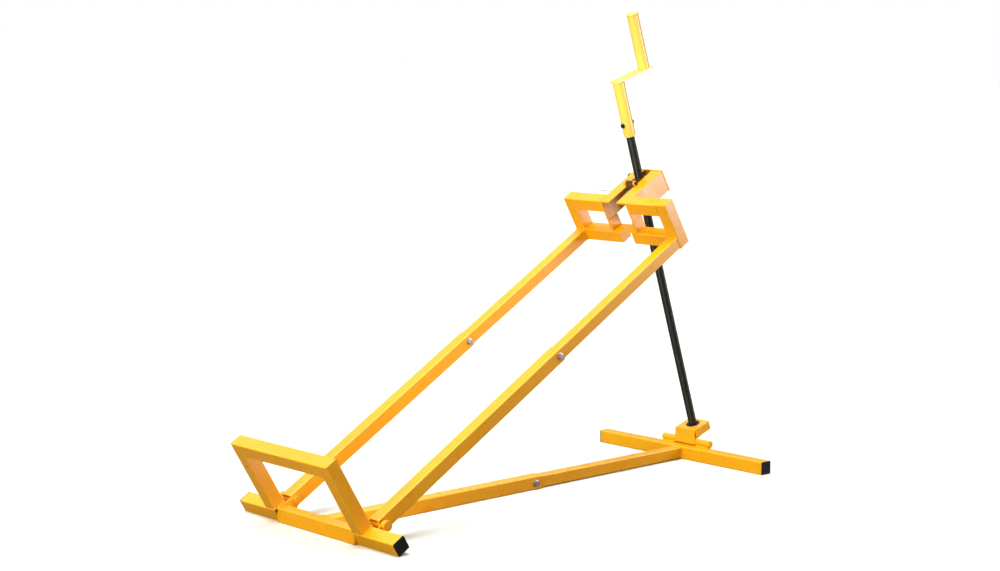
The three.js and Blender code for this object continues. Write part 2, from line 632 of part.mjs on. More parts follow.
function crankBar(turner, low) {
  const high = low + CRANK_BAR_THICK;
  const half = CRANK_BAR_WIDTH / 2;
  const p = [OFFSET - CRANK_BAR_BACK, OFFSET + CRANK_THROW + CRANK_BAR_END];
  const bar = barZ(rectangle(p, [-half, half]), low, high);
  const gripX = OFFSET + CRANK_THROW;
  const hole = turnedZ(rod(GRIP_PIN_R + GAP, low - MARGIN, high + MARGIN), gripX);
  addMesh(turner, 'crank_bar', cut(bar, [hole]), yellow);
  const cap = GRIP_TOP + GAP;
  const foot = low - GAP;
  const pin = [
    [0, foot - GRIP_NUT], [GRIP_NUT_R, foot - GRIP_NUT], [GRIP_NUT_R, foot], [GRIP_PIN_R, foot],
    [GRIP_PIN_R, cap], [GRIP_CAP_R, cap], [GRIP_CAP_R, cap + GRIP_CAP], [0, cap + GRIP_CAP],
  ];
  addMesh(turner, 'grip_pin', turnedZ(pin, gripX), yellow);
}

function grip(handle) {
  const low = SOCKET_S[1] + GAP + CRANK_BAR_THICK + GAP;
  const sleeve = pipe(GRIP_R, GRIP_PIN_R + RUN_CLEAR, low, GRIP_TOP);
  addMesh(handle, 'grip_sleeve', turnedZ(sleeve, OFFSET + CRANK_THROW), yellow);
}

function leaning(parent, x, z, angle) {
  const group = new THREE.Group();
  group.position.set(x, 0, z);
  group.rotation.y = -angle;
  parent.add(group);
  return group;
}

const lift = new THREE.Group();
const level = new THREE.Group();
lift.add(level);
rearCross(level);
beam(level);
frontFoot(level);

const arm = leaning(level, ARM_FOOT_X, ARM_FOOT_Z, tilt);
for (const { name, sign } of SIDES) {
  armSide(arm, name, sign);
  headSide(arm, name, sign);
  channelSide(arm, name, sign);
}
headFittings(arm);
stopFrame(arm);

const footFrame = leaning(level, FRONT_HINGE_X, HINGE_Z, lean);
footBracket(footFrame);
spindle(footFrame);
grip(footFrame);

const nutFrame = leaning(arm, NUT_X, NUT_Z, lean - tilt);
nut(nutFrame);

// The origin is under the middle of the whole part, on the floor
lift.updateMatrixWorld(true);
const box = new THREE.Box3().setFromObject(level, true);
level.position.set(-(box.min.x + box.max.x) / 2, 0, -box.min.z);
lift.updateMatrixWorld(true);

export default lift;
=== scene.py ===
"""Looks of the lawn mower lift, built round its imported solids.

The lift is a level base of square tube, an arm swung up from it with a wheel stop at its foot, and a
threaded spindle that leans on the front foot and carries the arm's head on a travelling nut.
Every shape is worked out in millimetres in the frame of its own sub-assembly: u and v are the two
axes across an outline and w is the axis that it is carried along. A shell becomes a mesh in metres
in the row's frame when its sub-assembly's place is applied.
"""

from __future__ import annotations

import logging
import math
from collections.abc import Callable, Sequence
from dataclasses import dataclass, field
from enum import Enum
from typing import ClassVar

import bpy
import numpy as np
from mathutils import Matrix, Vector
from mathutils.geometry import tessellate_polygon

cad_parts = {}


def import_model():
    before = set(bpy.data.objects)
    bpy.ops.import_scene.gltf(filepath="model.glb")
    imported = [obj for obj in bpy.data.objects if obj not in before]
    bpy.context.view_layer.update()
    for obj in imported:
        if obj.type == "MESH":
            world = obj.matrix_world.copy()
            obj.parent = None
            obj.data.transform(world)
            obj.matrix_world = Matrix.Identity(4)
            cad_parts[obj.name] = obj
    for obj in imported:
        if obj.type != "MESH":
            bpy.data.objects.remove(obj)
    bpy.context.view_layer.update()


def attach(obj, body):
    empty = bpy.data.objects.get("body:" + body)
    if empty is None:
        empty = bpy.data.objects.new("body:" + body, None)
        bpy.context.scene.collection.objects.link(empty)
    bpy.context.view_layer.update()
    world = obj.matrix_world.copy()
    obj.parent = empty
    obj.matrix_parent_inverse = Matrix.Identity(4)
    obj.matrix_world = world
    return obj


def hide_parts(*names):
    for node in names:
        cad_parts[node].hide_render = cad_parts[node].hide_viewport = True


LOG = logging.getLogger("lift")
MM = 0.001
SIDES = (("left", 1), ("right", -1))
Triple = tuple[float, float, float]
Socket = bpy.types.NodeSocket


class Axis(Enum):
    """The axis of a sub-assembly's frame that an outline is carried along."""

    X = "x"
    Y = "y"
    Z = "z"

    def carry(self, uvw: np.ndarray) -> np.ndarray:
        """Puts outline coordinates on the frame's axes, keeping the turning sense.

        Args:
            uvw: points (n, 3), across, across and along.

        Returns:
            Points (n, 3) in x, y, z: X takes (y, z, x), Y takes (z, x, y) and Z takes (x, y, z).
        """
        if self is Axis.X:
            return uvw[:, [2, 0, 1]]
        if self is Axis.Y:
            return uvw[:, [1, 2, 0]]
        return uvw


class Body(Enum):
    """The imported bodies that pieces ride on."""

    BASE = "base"
    ARM = "arm"
    STOP = "stop"
    BRACKET = "foot_bracket"
    SPINDLE = "spindle"
    GRIP = "grip"
    NUT = "nut"


class Slot(Enum):
    """The record's material slots."""

    YELLOW = "yellow_paint"
    CAP = "black_cap"
    ZINC = "zinc_steel"
    DARK = "dark_steel"


@dataclass(frozen=True)
class Place:
    """A sub-assembly's frame: its origin in the row's frame and its lean about the Y axis."""

    x: float
    z: float
    lean: float

    def world(self, points: np.ndarray) -> np.ndarray:
        """Turns local points by the lean, shifts them to the origin and changes them to metres.

        Args:
            points: points (n, 3) in millimetres.

        Returns:
            Points (n, 3) in metres, in the row's frame.
        """
        lean = math.radians(self.lean)
        x = self.x + points[:, 0] * math.cos(lean) - points[:, 2] * math.sin(lean)
        z = self.z + points[:, 0] * math.sin(lean) + points[:, 2] * math.cos(lean)
        return np.column_stack([x, points[:, 1], z]) * MM


LEVEL = Place(-708.10983, 0.0, 0.0)
TILTED = Place(-696.10983, -0.9, 30.4)
LEANING = Place(763.8902, 51.7726, 18.0)
PIVOTED = Place(494.6529, 880.3998, 18.0)


# Outlines


@dataclass(frozen=True)
class Outline:
    """A closed outline: points (n, 2) and how much each point's edge is exposed to wear."""

    points: np.ndarray
    wear: np.ndarray

    def area(self) -> float:
        """Signed area by the shoelace rule, positive when the outline runs counterclockwise."""
        u, v = self.points.T
        return 0.5 * float(np.sum(u * np.roll(v, -1) - np.roll(u, -1) * v))

    def running(self, counterclockwise: bool) -> Outline:
        """Turns the outline round where it runs the wrong way.

        Args:
            counterclockwise: whether it has to run counterclockwise.

        Returns:
            The same outline in the asked sense.
        """
        if (self.area() > 0) == counterclockwise:
            return self
        return Outline(self.points[::-1].copy(), self.wear[::-1].copy())

    def swapped(self) -> Outline:
        """The outline with its two axes changed over, for an outline drawn as (x, z)."""
        return Outline(self.points[:, ::-1].copy(), self.wear)

    def mitres(self) -> np.ndarray:
        """The step of each point that moves every side one unit to its left.

        With n1 and n2 the left normals of the sides before and after a point, the step is
        (n1 + n2) / (1 + n1.n2).

        Returns:
            The steps (n, 2).
        """
        ahead = np.roll(self.points, -1, axis=0) - self.points
        ahead /= np.linalg.norm(ahead, axis=1, keepdims=True)
        after = np.column_stack([-ahead[:, 1], ahead[:, 0]])
        before = np.roll(after, 1, axis=0)
        share = 1 + np.sum(before * after, axis=1, keepdims=True)
        return (before + after) / np.maximum(share, 0.2)


def eased(corners: Sequence[Sequence[float]], radius: float | Sequence[float], steps: int = 4,
          support: float = 1.2) -> Outline:
    """Rounds an outline's corners with true arcs and guards them with support points.

    At a corner P with unit sides a and b to its neighbours and the angle g between them, the arc's
    centre is P + (a + b)/|a + b| * r/sin(g/2). The arc runs between P + a*t and P + b*t with
    t = r/tan(g/2), and its points are the slerp of the two radii.

    Args:
        corners: corner points in order, (n, 2).
        radius: one radius or one for each corner; 0 leaves a corner as it is.
        steps: sides in each arc.
        support: distance from an arc to the point where wear ends.

    Returns:
        The outline, with wear 1 on arcs and 0 on straight runs.
    """
    at = np.asarray(corners, float)
    r = np.broadcast_to(np.asarray(radius, float), (len(at),))[:, None]
    a = np.roll(at, 1, axis=0) - at
    b = np.roll(at, -1, axis=0) - at
    room = np.minimum(np.linalg.norm(a, axis=1), np.linalg.norm(b, axis=1))[:, None]
    a /= np.linalg.norm(a, axis=1, keepdims=True)
    b /= np.linalg.norm(b, axis=1, keepdims=True)
    g = np.arccos(np.clip(np.sum(a * b, axis=1, keepdims=True), -1, 1))
    half = np.clip(g / 2, 1e-3, math.pi / 2 - 1e-4)
    r = np.minimum(r, 0.45 * room * np.tan(half))
    middle = a + b
    middle /= np.maximum(np.linalg.norm(middle, axis=1, keepdims=True), 1e-9)
    centre = at + middle * r / np.sin(half)
    tangent = r / np.tan(half)
    start = at + a * tangent - centre
    end = at + b * tangent - centre
    turn = math.pi - 2 * half
    share = np.linspace(0, 1, steps + 1)[None, :, None]
    weight = np.maximum(np.sin(turn), 1e-9)[:, None]
    arcs = (np.sin((1 - share) * turn[:, None]) * start[:, None]
            + np.sin(share * turn[:, None]) * end[:, None]) / weight
    arcs = arcs + centre[:, None]
    guard = np.minimum(tangent + support, 0.49 * room)
    low = (at + a * guard)[:, None]
    high = (at + b * guard)[:, None]
    block = np.concatenate([low, arcs, high], axis=1)
    wear = np.zeros(block.shape[:2])
    wear[:, 1:-1] = 1.0
    sharp = (r[:, 0] < 1e-6)
    block[sharp] = at[sharp][:, None]
    wear[sharp] = 0.0
    points = block.reshape(-1, 2)
    wear = wear.reshape(-1)
    apart = np.linalg.norm(points - np.roll(points, 1, axis=0), axis=1) > 1e-4
    return Outline(points[apart], wear[apart])


def square(u: float, v: float, size: float, radius: float) -> Outline:
    """A rounded square about (u, v)."""
    h = size / 2
    return eased([(u - h, v - h), (u + h, v - h), (u + h, v + h), (u - h, v + h)], radius)


def rectangle(u: tuple[float, float], v: tuple[float, float], radius: float = 1.0) -> Outline:
    """A rectangle with eased corners."""
    return eased([(u[0], v[0]), (u[1], v[0]), (u[1], v[1]), (u[0], v[1])], radius)


def arc(u: float, v: float, radius: float, start: float, end: float, steps: int) -> np.ndarray:
    """Points (steps + 1, 2) on a circle from one angle to another, in degrees."""
    turn = np.radians(np.linspace(start, end, steps + 1))
    return np.column_stack([u + radius * np.cos(turn), v + radius * np.sin(turn)])


def circle(u: float, v: float, radius: float, steps: int = 48) -> Outline:
    """A full circle as an outline."""
    points = arc(u, v, radius, 0, 360, steps)[:-1]
    return Outline(points, np.zeros(len(points)))


# Shells


@dataclass
class Shell:
    """A closed surface: points (n, 3), wear (n,), quads (q, 4) and triangles (t, 3)."""

    points: np.ndarray
    wear: np.ndarray
    quads: np.ndarray = field(default_factory=lambda: np.zeros((0, 4), int))
    triangles: np.ndarray = field(default_factory=lambda: np.zeros((0, 3), int))

    def volume(self) -> float:
        """Signed volume: a sixth of the sum of a.(b x c) over all triangles.

        Returns:
            The volume, positive when the faces look outwards.
        """
        q = self.quads
        faces = np.concatenate([q[:, [0, 1, 2]], q[:, [0, 2, 3]], self.triangles])
        a, b, c = (self.points[faces[:, k]] for k in range(3))
        return float(np.sum(a * np.cross(b, c))) / 6

    def outward(self) -> Shell:
        """Turns the faces round where they look inwards.

        Returns:
            The shell with its faces turned outwards.
        """
        if self.volume() >= 0:
            return self
        return Shell(self.points, self.wear, self.quads[:, ::-1], self.triangles[:, ::-1])

    def moved(self, x: float = 0.0, y: float = 0.0, z: float = 0.0) -> Shell:
        """The shell shifted along the three axes."""
        return Shell(self.points + np.array([x, y, z]), self.wear, self.quads, self.triangles)

    def mirrored(self) -> Shell:
        """The shell on the other side of the plane y = 0."""
        flipped = self.points * np.array([1.0, -1.0, 1.0])
        return Shell(flipped, self.wear, self.quads[:, ::-1], self.triangles[:, ::-1])

    def sided(self, sign: int) -> Shell:
        """The shell as made for the left side, or mirrored for the right."""
        return self if sign > 0 else self.mirrored()

    def bent(self, rule: Callable[[np.ndarray], np.ndarray]) -> Shell:
        """The shell with its points changed by rule, a function of an array (n, 3)."""
        return Shell(rule(self.points), self.wear, self.quads, self.triangles)


def joined(shells: Sequence[Shell]) -> Shell:
    """Puts several shells into one set of points and faces.

    Args:
        shells: the shells, in order.

    Returns:
        The shell that holds them all.
    """
    offsets = np.cumsum([0] + [len(s.points) for s in shells[:-1]])
    return Shell(
        np.concatenate([s.points for s in shells]),
        np.concatenate([s.wear for s in shells]),
        np.concatenate([s.quads + o for s, o in zip(shells, offsets)]),
        np.concatenate([s.triangles + o for s, o in zip(shells, offsets)]),
    )


def ring_quads(rows: int, columns: int, start: int = 0, closed_rows: bool = False) -> np.ndarray:
    """Quads between neighbouring rows of a grid whose columns close on themselves.

    Args:
        rows: number of rows.
        columns: points in each row.
        start: index of the grid's first point.
        closed_rows: whether the last row joins the first.

    Returns:
        Quads (q, 4) of point indices.
    """
    last = rows if closed_rows else rows - 1
    r, c = np.meshgrid(np.arange(last), np.arange(columns), indexing="ij")
    up, right = (r + 1) % rows, (c + 1) % columns
    quads = np.stack([r * columns + c, r * columns + right, up * columns + right, up * columns + c], -1)
    return quads.reshape(-1, 4) + start


@dataclass(frozen=True)
class Hole:
    """A hole in a carried outline.

    Attributes:
        outline: its outline at the low end.
        reach: the level of its floor for a blind hole from the low end, or None if it goes through.
        step: (level, widening) of a counterbore that runs from that level to the high end.
    """

    outline: Outline
    reach: float | None = None
    step: tuple[float, float] | None = None


def fill(loops: Sequence[np.ndarray], starts: Sequence[int], upward: bool) -> np.ndarray:
    """Triangles that close a flat face bounded by loops.

    Args:
        loops: outer loop and holes, each (n, 2).
        starts: index of each loop's first point in the shell.
        upward: whether the face looks along +w.

    Returns:
        Triangles (t, 3) of shell indices.
    """
    index = np.concatenate([np.arange(len(loop)) + start for loop, start in zip(loops, starts)])
    flat = np.concatenate(loops)
    found = np.array(tessellate_polygon([[Vector((u, v, 0)) for u, v in loop] for loop in loops]), int)
    a, b, c = (flat[found[:, k]] for k in range(3))
    turn = (b - a)[:, 0] * (c - a)[:, 1] - (b - a)[:, 1] * (c - a)[:, 0]
    found, turn = found[np.abs(turn) > 1e-9], turn[np.abs(turn) > 1e-9]
    wrong = (turn > 0) != upward
    found[wrong] = found[wrong][:, ::-1]
    return index[found]


def carried(axis: Axis, outline: Outline, low: float, high: float, holes: Sequence[Hole] = (),
            ease: float = 0.8, support: float = 1.5, steps: int = 3) -> Shell:
    """An outline carried along an axis, its end edges rounded.

    Ring k of an end has the inset ease*(1 - sin p) and the rise ease*(1 - cos p) for p from 0 to a
    quarter turn, so the edge is a quarter circle. A support ring on either side of it keeps the
    faces flat and ends the wear.

    Args:
        axis: the axis the outline is carried along; an outline along Y is given as (x, z).
        outline: the outer outline.
        low: level of the low end.
        high: level of the high end.
        holes: holes along the same axis.
        ease: radius of the end edges.
        support: distance of the support rings.
        steps: sides in each edge.

    Returns:
        The closed shell.
    """
    turn = np.linspace(0, math.pi / 2, steps + 1)
    inset = np.concatenate([[ease + support], ease * (1 - np.sin(turn)), [0.0]])
    rise = np.concatenate([[0.0], ease * (1 - np.cos(turn)), [ease + support]])
    wear = np.concatenate([[0.0], np.ones(steps + 1), [0.0]])
    wear[-2] = 0.6
    points, wears, quads, triangles = [], [], [], []
    low_loops, low_starts, high_loops, high_starts = [], [], [], []
    count = 0
    for hole in (None, *holes):
        loop = outline if hole is None else hole.outline
        loop = (loop.swapped() if axis is Axis.Y else loop).running(hole is None)
        widen, step, blind = 0.0, [], hole is not None and hole.reach is not None
        if hole is not None and hole.step is not None:
            widen = hole.step[1]
            step = [(0.0, hole.step[0], 0.0), (widen, hole.step[0], 0.0)]
        start = [(i, low + h, x) for i, h, x in zip(inset, rise, wear)]
        end = [(i + widen, high - h, x) for i, h, x in zip(inset[::-1], rise[::-1], wear[::-1])]
        if blind:
            end = [(0.0, hole.reach, 0.0)]
        rows = np.array(start + step + end)
        flat = loop.points[None] + loop.mitres()[None] * rows[:, 0, None, None]
        level = np.broadcast_to(rows[:, 1, None, None], (*flat.shape[:2], 1))
        points.append(np.concatenate([flat, level], axis=2).reshape(-1, 3))
        wears.append(np.maximum(rows[:, 2, None], loop.wear[None]).reshape(-1))
        size = flat.shape[1]
        quads.append(ring_quads(len(rows), size, count))
        low_loops.append(flat[0])
        low_starts.append(count)
        top = count + (len(rows) - 1) * size
        if blind:
            triangles.append(fill([flat[-1]], [top], False))
        else:
            high_loops.append(flat[-1])
            high_starts.append(top)
        count += len(rows) * size
    triangles.append(fill(low_loops, low_starts, False))
    triangles.append(fill(high_loops, high_starts, True))
    shell = Shell(axis.carry(np.concatenate(points)), np.concatenate(wears),
                  np.concatenate(quads), np.concatenate(triangles))
    return shell.outward()


def turned(axis: Axis, profile: Sequence[Sequence[float]], at: tuple[float, float] = (0.0, 0.0),
           ease: float | Sequence[float] = 0.6, ring: bool = False, segments: int = 56) -> Shell:
    """A profile spun about an axis: the point (r, w) goes to (r cos a, r sin a, w).

    Args:
        axis: the axis it spins about.
        profile: pairs of radius and level, from the axis and back to it, or a closed ring.
        at: where the axis passes, in the frame's two other coordinates, as (x, z) for Y.
        ease: radius of the profile's corners.
        ring: whether the profile closes on itself and leaves a bore.
        segments: sides round the axis.

    Returns:
        The closed shell.
    """
    pairs = np.asarray(profile, float)
    radii = np.broadcast_to(np.asarray(ease, float), (len(pairs),)).copy()
    if not ring:
        radii[[0, -1]] = 0.0
    line = eased(pairs, radii, 3, 0.8)
    path, wear = line.points, line.wear
    if not ring:
        first = int(np.argmin(np.linalg.norm(path - pairs[0], axis=1)))
        path, wear = np.roll(path, -first, axis=0), np.roll(wear, -first)
    turn = np.linspace(0, 2 * math.pi, segments, endpoint=False)
    radius, level = path[:, 0], path[:, 1]
    grid = np.stack([radius[:, None] * np.cos(turn), radius[:, None] * np.sin(turn),
                     np.broadcast_to(level[:, None], (len(path), segments))], -1)
    if ring:
        points, worn = grid.reshape(-1, 3), np.repeat(wear, segments)
        shell = Shell(points, worn, ring_quads(len(path), segments, 0, True))
    else:
        rows = grid[1:-1]
        ends = np.array([[0, 0, level[0]], [0, 0, level[-1]]])
        points = np.concatenate([rows.reshape(-1, 3), ends])
        worn = np.concatenate([np.repeat(wear[1:-1], segments), [0.0, 0.0]])
        total = len(rows) * segments
        c = np.arange(segments)
        right = (c + 1) % segments
        top = total - segments
        fans = np.concatenate([
            np.column_stack([np.full(segments, total), right, c]),
            np.column_stack([np.full(segments, total + 1), top + c, top + right]),
        ])
        shell = Shell(points, worn, ring_quads(len(rows), segments), fans)
    u, v = (at[1], at[0]) if axis is Axis.Y else at
    shell.points = axis.carry(shell.points + np.array([u, v, 0.0]))
    return shell.outward()


def hexed(axis: Axis, flats: float, low: float, high: float, at: tuple[float, float],
          crown: bool = True, bore: float = 0.0) -> Shell:
    """A bolt head or nut: a hexagonal prism whose ends are cut by a 30 degree cone.

    The hexagon's radius at angle a is (flats/2)/cos(a mod 60 - 30). Where it exceeds the cone's
    radius c, the side ends (hexagon - c)*tan(30) short of the end, which gives the arched chamfer.

    Args:
        axis: the axis of the head.
        flats: width across the flats.
        low: level of the bearing face.
        high: level of the free face.
        at: where the axis passes, as for turned.
        crown: whether the free end is chamfered.
        bore: radius of a hole through it, or 0.

    Returns:
        The closed shell.
    """
    segments = 72
    turn = np.linspace(0, 2 * math.pi, segments, endpoint=False)
    side = np.mod(turn, math.pi / 3) - math.pi / 6
    outer = flats / 2 / np.cos(side)
    cone = flats / 2 * 1.01
    drop = np.maximum(outer - cone, 0) * math.tan(math.radians(30)) * (1.0 if crown else 0.0)
    up = 1.0 if high > low else -1.0
    top = np.minimum(outer, cone) if crown else outer
    one = np.ones(segments)
    inner = max(bore, 0.0)
    centre = inner * one if bore else np.full(segments, 1e-3)
    rows = [(centre, low * one, 0), (outer - 0.3, low * one, 0.5), (outer, (low + up * 0.3) * one, 1),
            (outer, high - up * (drop + 0.3), 0.6), (outer - 0.15, high - up * drop, 1),
            (top - 0.4, high * one, 1), (top - 1.2, high * one, 0), (centre, high * one, 0)]
    grid = np.stack([np.column_stack([r * np.cos(turn), r * np.sin(turn), h]) for r, h, _ in rows])
    wear = np.repeat([w for _, _, w in rows], segments).astype(float)
    shell = Shell(grid.reshape(-1, 3), wear, ring_quads(len(rows), segments, 0, True))
    u, v = (at[1], at[0]) if axis is Axis.Y else at
    shell.points = axis.carry(shell.points + np.array([u, v, 0.0]))
    return shell.outward()


def threaded(radius: float, depth: float, pitch: float, low: float, high: float,
             crest: float = 0.5, flank: float = 0.1, segments: int = 36) -> Shell:
    """A single-start trapezoidal thread about the Z axis.

    A point at angle a and level w lies at phase p = frac(w/pitch - a/2pi). The radius is the crest
    for p in the crest's share, the root in the root's share, and falls in straight flanks between.
    Rows of the grid follow the crest's and root's edges round the screw, and levels are clamped to
    the ends before the radius is worked out, so both ends are cut square.

    Args:
        radius: crest radius.
        depth: depth of the thread.
        pitch: rise for one turn.
        low: level of the low end.
        high: level of the high end.
        crest: share of the pitch taken by the crest.
        flank: share taken by each flank; the root has the rest.
        segments: sides round the axis.

    Returns:
        The closed shell.
    """
    edges = np.array([0.0, crest, crest + flank, 1.0 - flank])
    turns = int(math.ceil((high - low) / pitch)) + 2
    phase = (np.arange(turns)[:, None] + edges[None]).reshape(-1)
    turn = np.linspace(0, 2 * math.pi, segments + 1)
    level = low + (phase[:, None] - 1.0 + turn[None] / (2 * math.pi)) * pitch
    level = np.clip(level, low, high)
    at = np.mod((level - low) / pitch - turn[None] / (2 * math.pi), 1.0)
    at = np.where(at > 1 - 1e-6, 0.0, at)
    nominal = np.broadcast_to(np.tile(edges, turns)[:, None], at.shape)
    at = np.where((level > low) & (level < high), nominal, at)
    height = np.interp(at, [*edges, 1.0], [1, 1, 0, 0, 1])
    height = height * np.clip(np.minimum(level - low, high - level) / pitch, 0, 1)
    r = radius - depth * (1 - height)
    grid = np.stack([r * np.cos(turn), r * np.sin(turn), level], -1)
    rows, columns = grid.shape[:2]
    row, column = np.meshgrid(np.arange(rows - 1), np.arange(segments), indexing="ij")
    base = row * columns + column
    quads = np.stack([base, base + 1, base + columns + 1, base + columns], -1).reshape(-1, 4)
    points = np.concatenate([grid.reshape(-1, 3), [[0, 0, low], [0, 0, high]]])
    worn = np.concatenate([height.reshape(-1), [0.0, 0.0]])
    total = rows * columns
    c = np.arange(segments)
    top = (rows - 1) * columns
    fans = np.concatenate([
        np.column_stack([np.full(segments, total), c + 1, c]),
        np.column_stack([np.full(segments, total + 1), top + c, top + c + 1]),
    ])
    return Shell(points, worn, quads, fans)


def bead(path: np.ndarray, radius: float, closed: bool = True, ripple: float = 0.14,
         spacing: float = 3.2, flat: float = 1.0, normal: Sequence[float] = (0, 0, 1)) -> Shell:
    """A weld bead: a small round section carried along a flat path, its size rippling.

    At distance s the section's radius is radius*(1 + ripple*|sin(pi s/spacing)|), the mark that each
    pause of the torch leaves, plus a slow swell of a tenth.

    Args:
        path: points (n, 3) of the path, in one plane.
        radius: mean radius of the section.
        closed: whether the path closes on itself.
        ripple: depth of the ripples as a share of the radius.
        spacing: distance between ripples.
        flat: height of the section across the plane as a share of its width.
        normal: the normal of the path's plane.

    Returns:
        The closed shell.
    """
    corners = np.asarray(path, float)
    loop = np.vstack([corners, corners[:1]]) if closed else corners
    lengths = np.linalg.norm(np.diff(loop, axis=0), axis=1)
    travelled = np.concatenate([[0.0], np.cumsum(lengths)])
    count = max(int(travelled[-1] / (spacing / 4)), 12)
    s = np.linspace(0, travelled[-1], count, endpoint=not closed)
    line = np.column_stack([np.interp(s, travelled, loop[:, k]) for k in range(3)])
    ahead = np.roll(line, -1, axis=0) - np.roll(line, 1, axis=0)
    if not closed:
        ahead[0], ahead[-1] = line[1] - line[0], line[-1] - line[-2]
    ahead /= np.linalg.norm(ahead, axis=1, keepdims=True)
    up = np.asarray(normal, float) / np.linalg.norm(normal)
    side = np.cross(ahead, up)
    side /= np.linalg.norm(side, axis=1, keepdims=True)
    size = radius * (1 + ripple * np.abs(np.sin(math.pi * s / spacing)) + 0.1 * np.sin(s / 11.0))
    if not closed:
        size = size * np.sqrt(np.clip(np.minimum(s, s[-1] - s) / radius, 0.05, 1))
    turn = np.linspace(0, 2 * math.pi, 8, endpoint=False)
    grid = (line[:, None] + side[:, None] * (size[:, None] * np.cos(turn))[..., None]
            + up * (flat * size[:, None] * np.sin(turn))[..., None])
    wear = np.full(len(s) * 8, 0.35)
    if closed:
        shell = Shell(grid.reshape(-1, 3), wear, ring_quads(len(s), 8, 0, True))
    else:
        total = len(s) * 8
        c = np.arange(8)
        right = (c + 1) % 8
        points = np.concatenate([grid.reshape(-1, 3), line[:1], line[-1:]])
        fans = np.concatenate([
            np.column_stack([np.full(8, total), right, c]),
            np.column_stack([np.full(8, total + 1), total - 8 + c, total - 8 + right]),
        ])
        shell = Shell(points, np.append(wear, [0.35, 0.35]), ring_quads(len(s), 8), fans)
    return shell.outward()


def wire(path: np.ndarray, radius: float) -> Shell:
    """Round wire bent along a closed path in a plane z = constant: a bead without ripples."""
    return bead(path, radius, ripple=0.0, spacing=2.4)


def seam_path(axis: Axis, outline: Outline, level: float) -> np.ndarray:
    """An outline as a path (n, 3) at one level of the axis."""
    flat = outline.swapped().points if axis is Axis.Y else outline.points
    return axis.carry(np.column_stack([flat, np.full(len(flat), level)]))


def seam(axis: Axis, u: float, v: float, size: float, level: float, radius: float = 2.2) -> Shell:
    """A bead round a square tube where it meets a face square to it."""
    normal = {Axis.X: (1, 0, 0), Axis.Y: (0, 1, 0), Axis.Z: (0, 0, 1)}[axis]
    return bead(seam_path(axis, square(u, v, size + 0.8, 3.4), level), radius, normal=normal)


def run(start: Sequence[float], end: Sequence[float], radius: float = 2.2) -> Shell:
    """A straight bead between two points; its normal is the axis that is most square to it.

    Args:
        start: its first point.
        end: its last point.
        radius: mean radius of its section.

    Returns:
        The bead's shell.
    """
    first, last = np.asarray(start, float), np.asarray(end, float)
    normal = np.eye(3)[int(np.argmin(np.abs(last - first)))]
    return bead(np.linspace(first, last, 12), radius, False, normal=normal)


# Finishes


